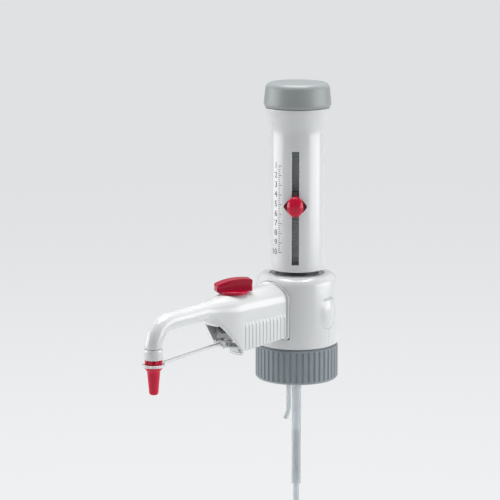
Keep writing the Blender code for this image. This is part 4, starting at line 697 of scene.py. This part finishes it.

# Recirculation valve, check valve and lock inside the hood.
# A grey resin chamber on two pipes, its plug, a ball on a spring, and a fork that holds the arm on. They
# keep their own solids and show in the open front and from below; a dark screw closes the chamber. The
# chamber's grey and the screw's dark are partly their own colour and partly painted shade inside the hood.
STEEL = moulded("bright_wire", (0.62, 0.62, 0.63), 0.22, mottle=0.08, relief=0.02)
feed(STEEL.node_tree.nodes["Principled BSDF"], {"Metallic": 1.0})
# Darker grey: partly the chamber's own colour, partly painted shade inside the hood.
RESIN_AND_SHADE = moulded("grey_resin_and_shade", (0.36, 0.37, 0.36), 0.45, mottle=0.12, clouds=120.0, relief=0.06)
keep(RESIN_AND_SHADE, "recirculation_valve_body")
keep(WAX, "valve_plug")
keep(STEEL, "discharge_spring")
keep(WHITE, "tube_lock")
CHAMBER_FRONT, SCREW_HEIGHT = -span("recirculation_valve_body")[0][0], 26.0
SCREW_RADIUS, SCREW_HEAD, KEY, KEY_FLOOR = 4.2, CHAMBER_FRONT + 2.2, 1.7, CHAMBER_FRONT + 0.6


def key_hole(radius, height, angle):
    """Makes the round recess six-sided: the key's half width over the cosine from the nearest flat."""
    from_flat = (angle + np.pi / 6) % (np.pi / 3) - np.pi / 6
    return (np.abs(radius - KEY) < 0.02) * KEY * (1 / np.cos(from_flat) - 1)


screw_outline = filleted([
    (0, CHAMBER_FRONT, 0), (SCREW_RADIUS, CHAMBER_FRONT, 0.05), (SCREW_RADIUS, SCREW_HEAD, 0.5),
    (KEY + 0.5, SCREW_HEAD, 0.1), (KEY, SCREW_HEAD - 0.2, 0), (KEY, KEY_FLOOR, 0), (0, KEY_FLOOR, 0)],
    closed=False)
screw = turned(screw_outline, 96, shift=key_hole)
screw = np.stack([-screw[..., 2], screw[..., 0], screw[..., 1] + SCREW_HEIGHT], -1)
# The screw's dark colour is partly its own and partly painted shade inside the hood.
fit(skin("passage_screw", screw, DARK), "valve_block", "dark_plastic")

# Recirculation lever.
# A red glossy grip on a round base, pushed into the plug; it falls towards its nose and is waisted for the
# fingers. Moulded in one piece with its stem, and askew to the arm.
LEVER_RED = moulded("lever_red_moulding", (0.44, 0.0, 0.03), 0.2, mottle=0.06, relief=0.012, shine=0.25,
                    reflection=0.2)
BASE, BASE_RADIUS, STEM_FOOT, STEM = SEAT_HEIGHT + FACE_GAP, 9.6, span("recirculation_lever")[0][2], 2.8
GRIP_LONG, GRIP_HALF, GRIP_ROUND, GRIP_TURN = 11.8, 5.2, 1.3, math.radians(30)
GRIP_LOW, GRIP_TAIL, GRIP_NOSE = BASE + 1.0, BASE + 9.3, BASE + 6.4
WAIST, SWELL, FLANK_DRAW, DISH, GRIP_POWER = 0.8, 0.8, 0.32, 0.5, 5.0


def grip_grid():
    """Sections along the grip: a squarish superellipse, waisted in plan, whose flanks draw in at mid height.
    The top falls from the tail to the nose by a cube, with a shallow dish. Both ends are drawn in on a
    quarter circle, and the grip is turned askew on its base."""
    over = np.radians(np.linspace(0, 90, 10))
    end = GRIP_ROUND * (1 - np.cos(over))
    drawn = GRIP_ROUND * (1 - np.sin(over))
    middle = np.linspace(GRIP_ROUND, 2 * GRIP_LONG - GRIP_ROUND, 60)
    along = np.concatenate([end, middle, 2 * GRIP_LONG - end[::-1]])[:, None]
    inset = np.concatenate([drawn, 0 * middle, drawn[::-1]])[:, None]
    share = along / (2 * GRIP_LONG)
    half = GRIP_HALF - WAIST * np.sin(np.pi * share) - inset
    crest = GRIP_TAIL - (GRIP_TAIL - GRIP_NOSE) * share ** 3 + SWELL * np.sin(np.pi * share) - inset
    low = GRIP_LOW + inset
    a = np.linspace(0, 2 * np.pi, 112, endpoint=False)[None, :]
    side, up = (np.sign(f(a)) * np.abs(f(a)) ** (2 / GRIP_POWER) for f in (np.cos, np.sin))
    across = half * side * (1 - FLANK_DRAW * (1 - up * up))
    dish = DISH * ease(0.75, 1.0, up) * (1 - side * side)
    height = (crest + low) / 2 + (crest - low) / 2 * up - dish
    x = GRIP_LONG - along + 0 * a
    c, s = math.cos(-GRIP_TURN), math.sin(-GRIP_TURN)
    return closed_ends(np.stack([x * c - across * s - LEVER_REACH, x * s + across * c, height], -1))


def together(name, pieces, material):
    """One object from several closed pieces that run into each other."""
    whole = bmesh.new()
    for piece in pieces:
        whole.from_mesh(piece.data)
        bpy.data.objects.remove(piece)
    data = bpy.data.meshes.new(name)
    whole.to_mesh(data)
    whole.free()
    data.shade_smooth()
    data.set_sharp_from_angle(angle=SHARP)
    return placed(name, data, material)


base_outline = filleted([
    (0, STEM_FOOT, 0), (STEM, STEM_FOOT, 0.3), (STEM, BASE, 0.1), (BASE_RADIUS, BASE, 0.2),
    (BASE_RADIUS, BASE + 2.0, 0.7), (0, BASE + 2.4, 0)], closed=False)
grip = skin("grip", grip_grid(), LEVER_RED)
grip_base = skin("base", turned(base_outline, 96, centre=lever_axis), LEVER_RED)
lever = together("lever_grip", [grip, grip_base], LEVER_RED)
fit(lever, "lever", "red_plastic", "recirculation_lever")

# Nozzle collar and the liner tube.
# The white nut at the pipe's end and the thin clear tube that carries the liquid through it.
# The nut is turned; the liner follows the pipe's bend and keeps its own solid.
nut_low, nut_high = span("nozzle_collar")
NUT_FOOT, NUT_TOP, NUT_RADIUS, NUT_BORE = nut_low[2], nut_high[2], nut_high[1], 1.95
nozzle_axis = (-NOZZLE_REACH, 0, 0)
nut_outline = filleted([
    (NUT_BORE, NUT_TOP, 0.1), (NUT_RADIUS - 0.2, NUT_TOP, 0.5), (NUT_RADIUS, NUT_TOP - 1.6, 0.3),
    (NUT_RADIUS, NUT_FOOT, 0.4), (NUT_BORE, NUT_FOOT, 0.1)], steps=6)
nut = skin("nozzle_nut", turned(nut_outline, 96, centre=nozzle_axis), WHITE, rows_meet=True)
fit(nut, "valve_block", "white_plastic", "nozzle_collar")
CLEAR = see_through("clear_tubing", (0.86, 0.89, 0.91), 0.7, 0.16, 1.34)
keep(CLEAR, "discharge_tube")

# Nozzle cap and its tether.
# A red hollow stopper under the nozzle; a white ring and rod keep it, hinged on a steel pin in a bracket.
# The bracket is a plate between the hood's flanks with two ears and a tongue that snaps under one flank.
stopper_low, stopper_high = span("nozzle_cap")
STOPPER_FOOT, STOPPER_TOP, STOPPER_RADIUS = stopper_low[2], stopper_high[2], stopper_high[0] + NOZZLE_REACH
KEEPER_HEIGHT, KEEPER_HALF, KEEPER_BORE = pivots["cap_turn"][2], 0.8, 5.35
KEEPER_RADIUS = -span("cap_tether")[0][0] - NOZZLE_REACH
GROOVE_TOP, GROOVE_LOW, HEAD_LOW = np.round(KEEPER_HEIGHT + np.array([1.1, -1.1, -1.8]), 2)
GROOVE_RADIUS, STUB_TOP, STUB_RADIUS, STUB_END, NOTCHES = 5.0, 7.7, 4.1, 2.8, 8
WELL_RADIUS, WELL_FLOOR, WELL_TOP, WELL_SEAT, WELL_MOUTH = 2.4, 3.1, 6.9, 3.0, 4.0
HINGE_REACH, HINGE_HEIGHT = -pivots["tether_swing"][0], pivots["tether_swing"][2]
EYE_BORE, EYE_RADIUS, EYE_HALF, STRAP = 1.35, 2.3, 2.2, 1.15


def rim_notches(radius, height, angle):
    """Eight small notches round the stopper's rim, above the ring."""
    rim = ease(GROOVE_TOP + 0.1, GROOVE_TOP + 0.5, height) * (radius > STOPPER_RADIUS - 0.9)
    return -rim * 0.9 * ease(0.5, 0.9, np.cos(NOTCHES * angle))


stopper_outline = divided(filleted([
    (0, WELL_FLOOR, 0), (WELL_RADIUS, WELL_FLOOR, 0.4), (WELL_RADIUS, WELL_TOP, 0.5),
    (WELL_SEAT, HEAD_LOW, 0.4), (WELL_MOUTH, STOPPER_TOP, 0.2), (STOPPER_RADIUS, STOPPER_TOP, 0.3),
    (STOPPER_RADIUS, GROOVE_TOP, 0.2), (GROOVE_RADIUS, GROOVE_TOP, 0.1), (GROOVE_RADIUS, GROOVE_LOW, 0.1),
    (STOPPER_RADIUS, GROOVE_LOW, 0.2), (STOPPER_RADIUS, HEAD_LOW, 0.4), (STUB_RADIUS, STUB_TOP, 1.2),
    (STUB_END, STOPPER_FOOT, 1.5), (0, STOPPER_FOOT, 0)],
    closed=False, steps=6), 0.5, closed=False)
stopper = skin("nozzle_stopper", turned(stopper_outline, 128, centre=nozzle_axis, shift=rim_notches), RED)
fit(stopper, "nozzle_cap", "red_plastic", "nozzle_cap")
keeper_top, keeper_low = KEEPER_HEIGHT + KEEPER_HALF, KEEPER_HEIGHT - KEEPER_HALF
keeper_outline = filleted([(KEEPER_BORE, keeper_top, 0.3), (KEEPER_RADIUS, keeper_top, 0.7),
                           (KEEPER_RADIUS, keeper_low, 0.7), (KEEPER_BORE, keeper_low, 0.3)], steps=6)
eye_outline = filleted([(EYE_BORE, -EYE_HALF, 0.1), (EYE_RADIUS, -EYE_HALF, 0.3),
                        (EYE_RADIUS, EYE_HALF, 0.3), (EYE_BORE, EYE_HALF, 0.1)], steps=4)
eye = turned(eye_outline, 48)
eye = np.stack([eye[..., 0] - HINGE_REACH, eye[..., 2], eye[..., 1] + HINGE_HEIGHT], -1)
strap_reach = np.linspace(HINGE_REACH + 1.75, NOZZLE_REACH - 6.4, 12)
strap_height = np.linspace(HINGE_HEIGHT, KEEPER_HEIGHT, 12)
strap_slope = np.full(12, math.atan2(HINGE_HEIGHT - KEEPER_HEIGHT, strap_reach[-1] - strap_reach[0]))
strap_rings = pipe_rings(strap_reach, strap_height, strap_slope, np.full(12, STRAP), 24)
tether = together("cap_keeper", [
    skin("keeper", turned(keeper_outline, 96, centre=nozzle_axis), WHITE, rows_meet=True),
    skin("eye", eye, WHITE, rows_meet=True),
    skin("strap", closed_ends(strap_rings), WHITE)], WHITE)
fit(tether, "tether", "white_plastic", "cap_tether")
(bracket_front, tongue_side, tongue_low), (bracket_back, plate_half, ear_top) = span("tether_bracket")
PLATE_FRONT, PLATE_LOW, PLATE_TOP, EAR_BACK, EAR_IN, EAR_OUT = -69.6, 12.7, 14.3, -66.7, 2.5, 4.3
TONGUE_FRONT, TONGUE_BACK, TONGUE_END, TONGUE_TOP = -67.0, -63.9, -1.5, 10.3
bracket_slabs = {
    "plate": slab((PLATE_FRONT, -plate_half, PLATE_LOW), (bracket_back, plate_half, PLATE_TOP), 0.4),
    "tongue": slab((TONGUE_FRONT, tongue_side, tongue_low), (TONGUE_BACK, TONGUE_END, TONGUE_TOP), 0.6),
    "web": slab((TONGUE_FRONT + 0.4, -plate_half + 0.4, tongue_low + 1.0),
                (TONGUE_BACK - 0.4, TONGUE_END - 0.4, PLATE_LOW + 0.8), 0.2),
    "near_ear": slab((bracket_front, -EAR_OUT, PLATE_LOW + 0.2), (EAR_BACK, -EAR_IN, ear_top), 0.5),
    "far_ear": slab((bracket_front, EAR_IN, PLATE_LOW + 0.2), (EAR_BACK, EAR_OUT, ear_top), 0.5)}
bracket = together("tether_hanger", [skin(name, grid, WHITE) for name, grid in bracket_slabs.items()], WHITE)
fit(bracket, "valve_block", "white_plastic", "tether_bracket")
keep(STEEL, "tether_pin")

# Tubes in the bottle.
# A wide filling tube pushed on the valve's olive, a narrower one that telescopes in it, cut at a slant,
# and the thin return tube with a kicked-out end. All are milky clear fluoropolymer.
wide_low, wide_high = span("filling_tube_upper")
narrow_high = span("filling_tube_lower")[1]
WIDE_WALL, NARROW_WALL, NARROW_END, SLANT, SLANT_HALF = 0.7, 0.6, -138.84, 3.0, 3.1
RETURN_TOP, RETURN_OUTER, RETURN_INNER, RETURN_REACH = span("recirculation_tube")[1][2], 1.55, 1.05, 7.8
KICK_START, KICK_RUN, KICK_OUT = -37.0, 8.0, 3.0


def tube_grid(outer, inner, bottom, top, slant=0.0):
    """A plain tube; the slant raises the lower end across X."""
    outline = divided(filleted([(outer, top, 0.12), (outer, bottom, 0.12), (inner, bottom, 0.12),
                                (inner, top, 0.12)], steps=4), 6.0)
    grid = turned(outline, 56)
    near_end = 1 - ease(bottom, bottom + 0.3, grid[..., 2])
    grid[..., 2] += near_end * slant * (grid[..., 0] + SLANT_HALF) / (2 * SLANT_HALF)
    return grid


def return_rings(radius):
    """Circles down the return tube: straight, then swung out by the square of the distance."""
    height = np.concatenate([np.linspace(RETURN_TOP, KICK_START, 16),
                             np.linspace(KICK_START, KICK_START - KICK_RUN, 12)[1:]])
    swing = np.clip((KICK_START - height) / KICK_RUN, 0, 1)
    lean = np.arctan(2 * KICK_OUT * swing / KICK_RUN)[:, None]
    a = np.linspace(0, 2 * np.pi, 32, endpoint=False)[None, :]
    out = RETURN_REACH + KICK_OUT * swing[:, None] ** 2 + radius * np.cos(a) * np.cos(lean)
    up = height[:, None] + radius * np.cos(a) * np.sin(lean)
    return np.stack([-out, radius * np.sin(a) + 0 * lean, up], -1)


wide_tube = tube_grid(wide_high[0], wide_high[0] - WIDE_WALL, wide_low[2], wide_high[2])
narrow_tube = tube_grid(narrow_high[0], narrow_high[0] - NARROW_WALL, NARROW_END, narrow_high[2], SLANT)
thin_tube = np.concatenate([return_rings(RETURN_OUTER), return_rings(RETURN_INNER)[::-1]])
for name, walls, body, node in (("fill_tube", wide_tube, "valve_block", "filling_tube_upper"),
                                ("dip_tube", narrow_tube, "lower_tube", "filling_tube_lower"),
                                ("return_tube", thin_tube, "valve_block", "recirculation_tube")):
    fit(skin(name, walls, CLEAR, rows_meet=True), body, "clear_tube", node)

# Floor, light and camera.
# A pale floor, two soft boxes well out to the sides and a third above, and the camera at the photograph's
# angle. The object is held up by a bottle's neck, so the floor lies below the tubes.
FLOOR_HALF, FLOOR_HEIGHT, FLOOR_GLOW_SHARE = 6000.0, -146.0, 0.85
floor_grid = np.array([[(x, y, FLOOR_HEIGHT) for x in (-FLOOR_HALF, FLOOR_HALF)]
                       for y in (-FLOOR_HALF, FLOOR_HALF)])
PALE = bpy.data.materials.new("pale_floor")
PALE.use_nodes = True
floor_nodes, floor_link = PALE.node_tree.nodes, PALE.node_tree.links.new
floor_shader = floor_nodes["Principled BSDF"]
feed(floor_shader, {"Base Color": (0.72, 0.735, 0.745, 1), "Roughness": 0.9})
floor_glow = floor_nodes.new("ShaderNodeEmission")
feed(floor_glow, {"Color": (0.845, 0.86, 0.872, 1)})
floor_mix = floor_nodes.new("ShaderNodeMixShader")


def seen_directly(nodes, link, mirrored=1.0):
    """1 for rays that show the backdrop straight or through clear stuff, and its mirrored share in gloss."""
    rays = nodes.new("ShaderNodeLightPath")
    first, second, share = (nodes.new("ShaderNodeMath") for _ in range(3))
    first.operation = second.operation = "MAXIMUM"
    share.operation = "MULTIPLY"
    share.inputs[1].default_value = mirrored
    link(rays.outputs["Is Glossy Ray"], share.inputs[0])
    link(rays.outputs["Is Camera Ray"], first.inputs[0])
    link(share.outputs[0], first.inputs[1])
    link(first.outputs[0], second.inputs[0])
    link(rays.outputs["Is Transmission Ray"], second.inputs[1])
    return second.outputs[0]


floor_share = floor_nodes.new("ShaderNodeMath")
floor_share.operation = "MULTIPLY"
floor_share.inputs[1].default_value = FLOOR_GLOW_SHARE
floor_link(seen_directly(floor_nodes, floor_link), floor_share.inputs[0])
for k, source in enumerate((floor_share, floor_shader, floor_glow)):
    floor_link(source.outputs[0], floor_mix.inputs[k])
floor_link(floor_mix.outputs[0], floor_nodes["Material Output"].inputs["Surface"])
skin("floor", floor_grid, PALE, columns_meet=False)

SKY_LIGHT, SKY_SEEN, SKY_MIRRORED = 0.18, 0.78, 0.3
world = bpy.data.worlds.new("studio")
bpy.context.scene.world = world
world.use_nodes = True
sky_nodes, sky_link = world.node_tree.nodes, world.node_tree.links.new
sky = sky_nodes["Background"]
feed(sky, {"Color": (0.97, 0.985, 1.0, 1)})
sky_level = sky_nodes.new("ShaderNodeMapRange")
feed(sky_level, {"To Min": SKY_LIGHT, "To Max": SKY_SEEN})
sky_link(seen_directly(sky_nodes, sky_link, SKY_MIRRORED), sky_level.inputs["Value"])
sky_link(sky_level.outputs["Result"], sky.inputs["Strength"])

AZIMUTH, ELEVATION, DISTANCE, FIELD = math.radians(-47.5), math.radians(10.2), 1.5, math.radians(12.4)
target = np.array([-0.0207, 0.0226, 0.066])
lamp_target = np.array([-0.03, 0.0, 0.07])
LAMP_SPREAD = math.radians(120)


def aimed(thing, place, at):
    """Sets a light or camera at a place, looking at a point."""
    held = bpy.data.objects.new(thing.name, thing)
    bpy.context.scene.collection.objects.link(held)
    dx, dy, dz = at - place
    held.location = place
    held.rotation_euler = (math.atan2(math.hypot(dx, dy), -dz), 0, -math.atan2(dx, dy))
    return held


def direction(azimuth, rise):
    """A unit vector from the object, at an angle round from the front and an angle up."""
    level = math.cos(rise)
    return np.array([math.sin(azimuth) * level, -math.cos(azimuth) * level, math.sin(rise)])


def soft_box(name, round_view, rise, away, width, height, power):
    """A rectangular lamp facing the object, set by its angle from the camera's side, rise and distance."""
    lamp = bpy.data.lights.new(name, "AREA")
    lamp.shape = "RECTANGLE"
    lamp.size, lamp.size_y = width, height
    lamp.energy = power
    lamp.spread = LAMP_SPREAD
    out = direction(AZIMUTH + math.radians(round_view), math.radians(rise))
    return aimed(lamp, lamp_target + away * out, lamp_target)


soft_box("left_box", -93, 6, 1.1, 1.15, 0.62, 3.5)
soft_box("right_box", 80, 6, 1.1, 1.15, 0.62, 3.6)
soft_box("top_box", 180, 82, 1.1, 0.8, 0.8, 7.8)

camera = bpy.data.cameras.new("camera")
camera.angle = FIELD
bpy.context.scene.camera = aimed(camera, target + DISTANCE * direction(AZIMUTH, ELEVATION), target)
bpy.context.scene.view_settings.view_transform = "Standard"
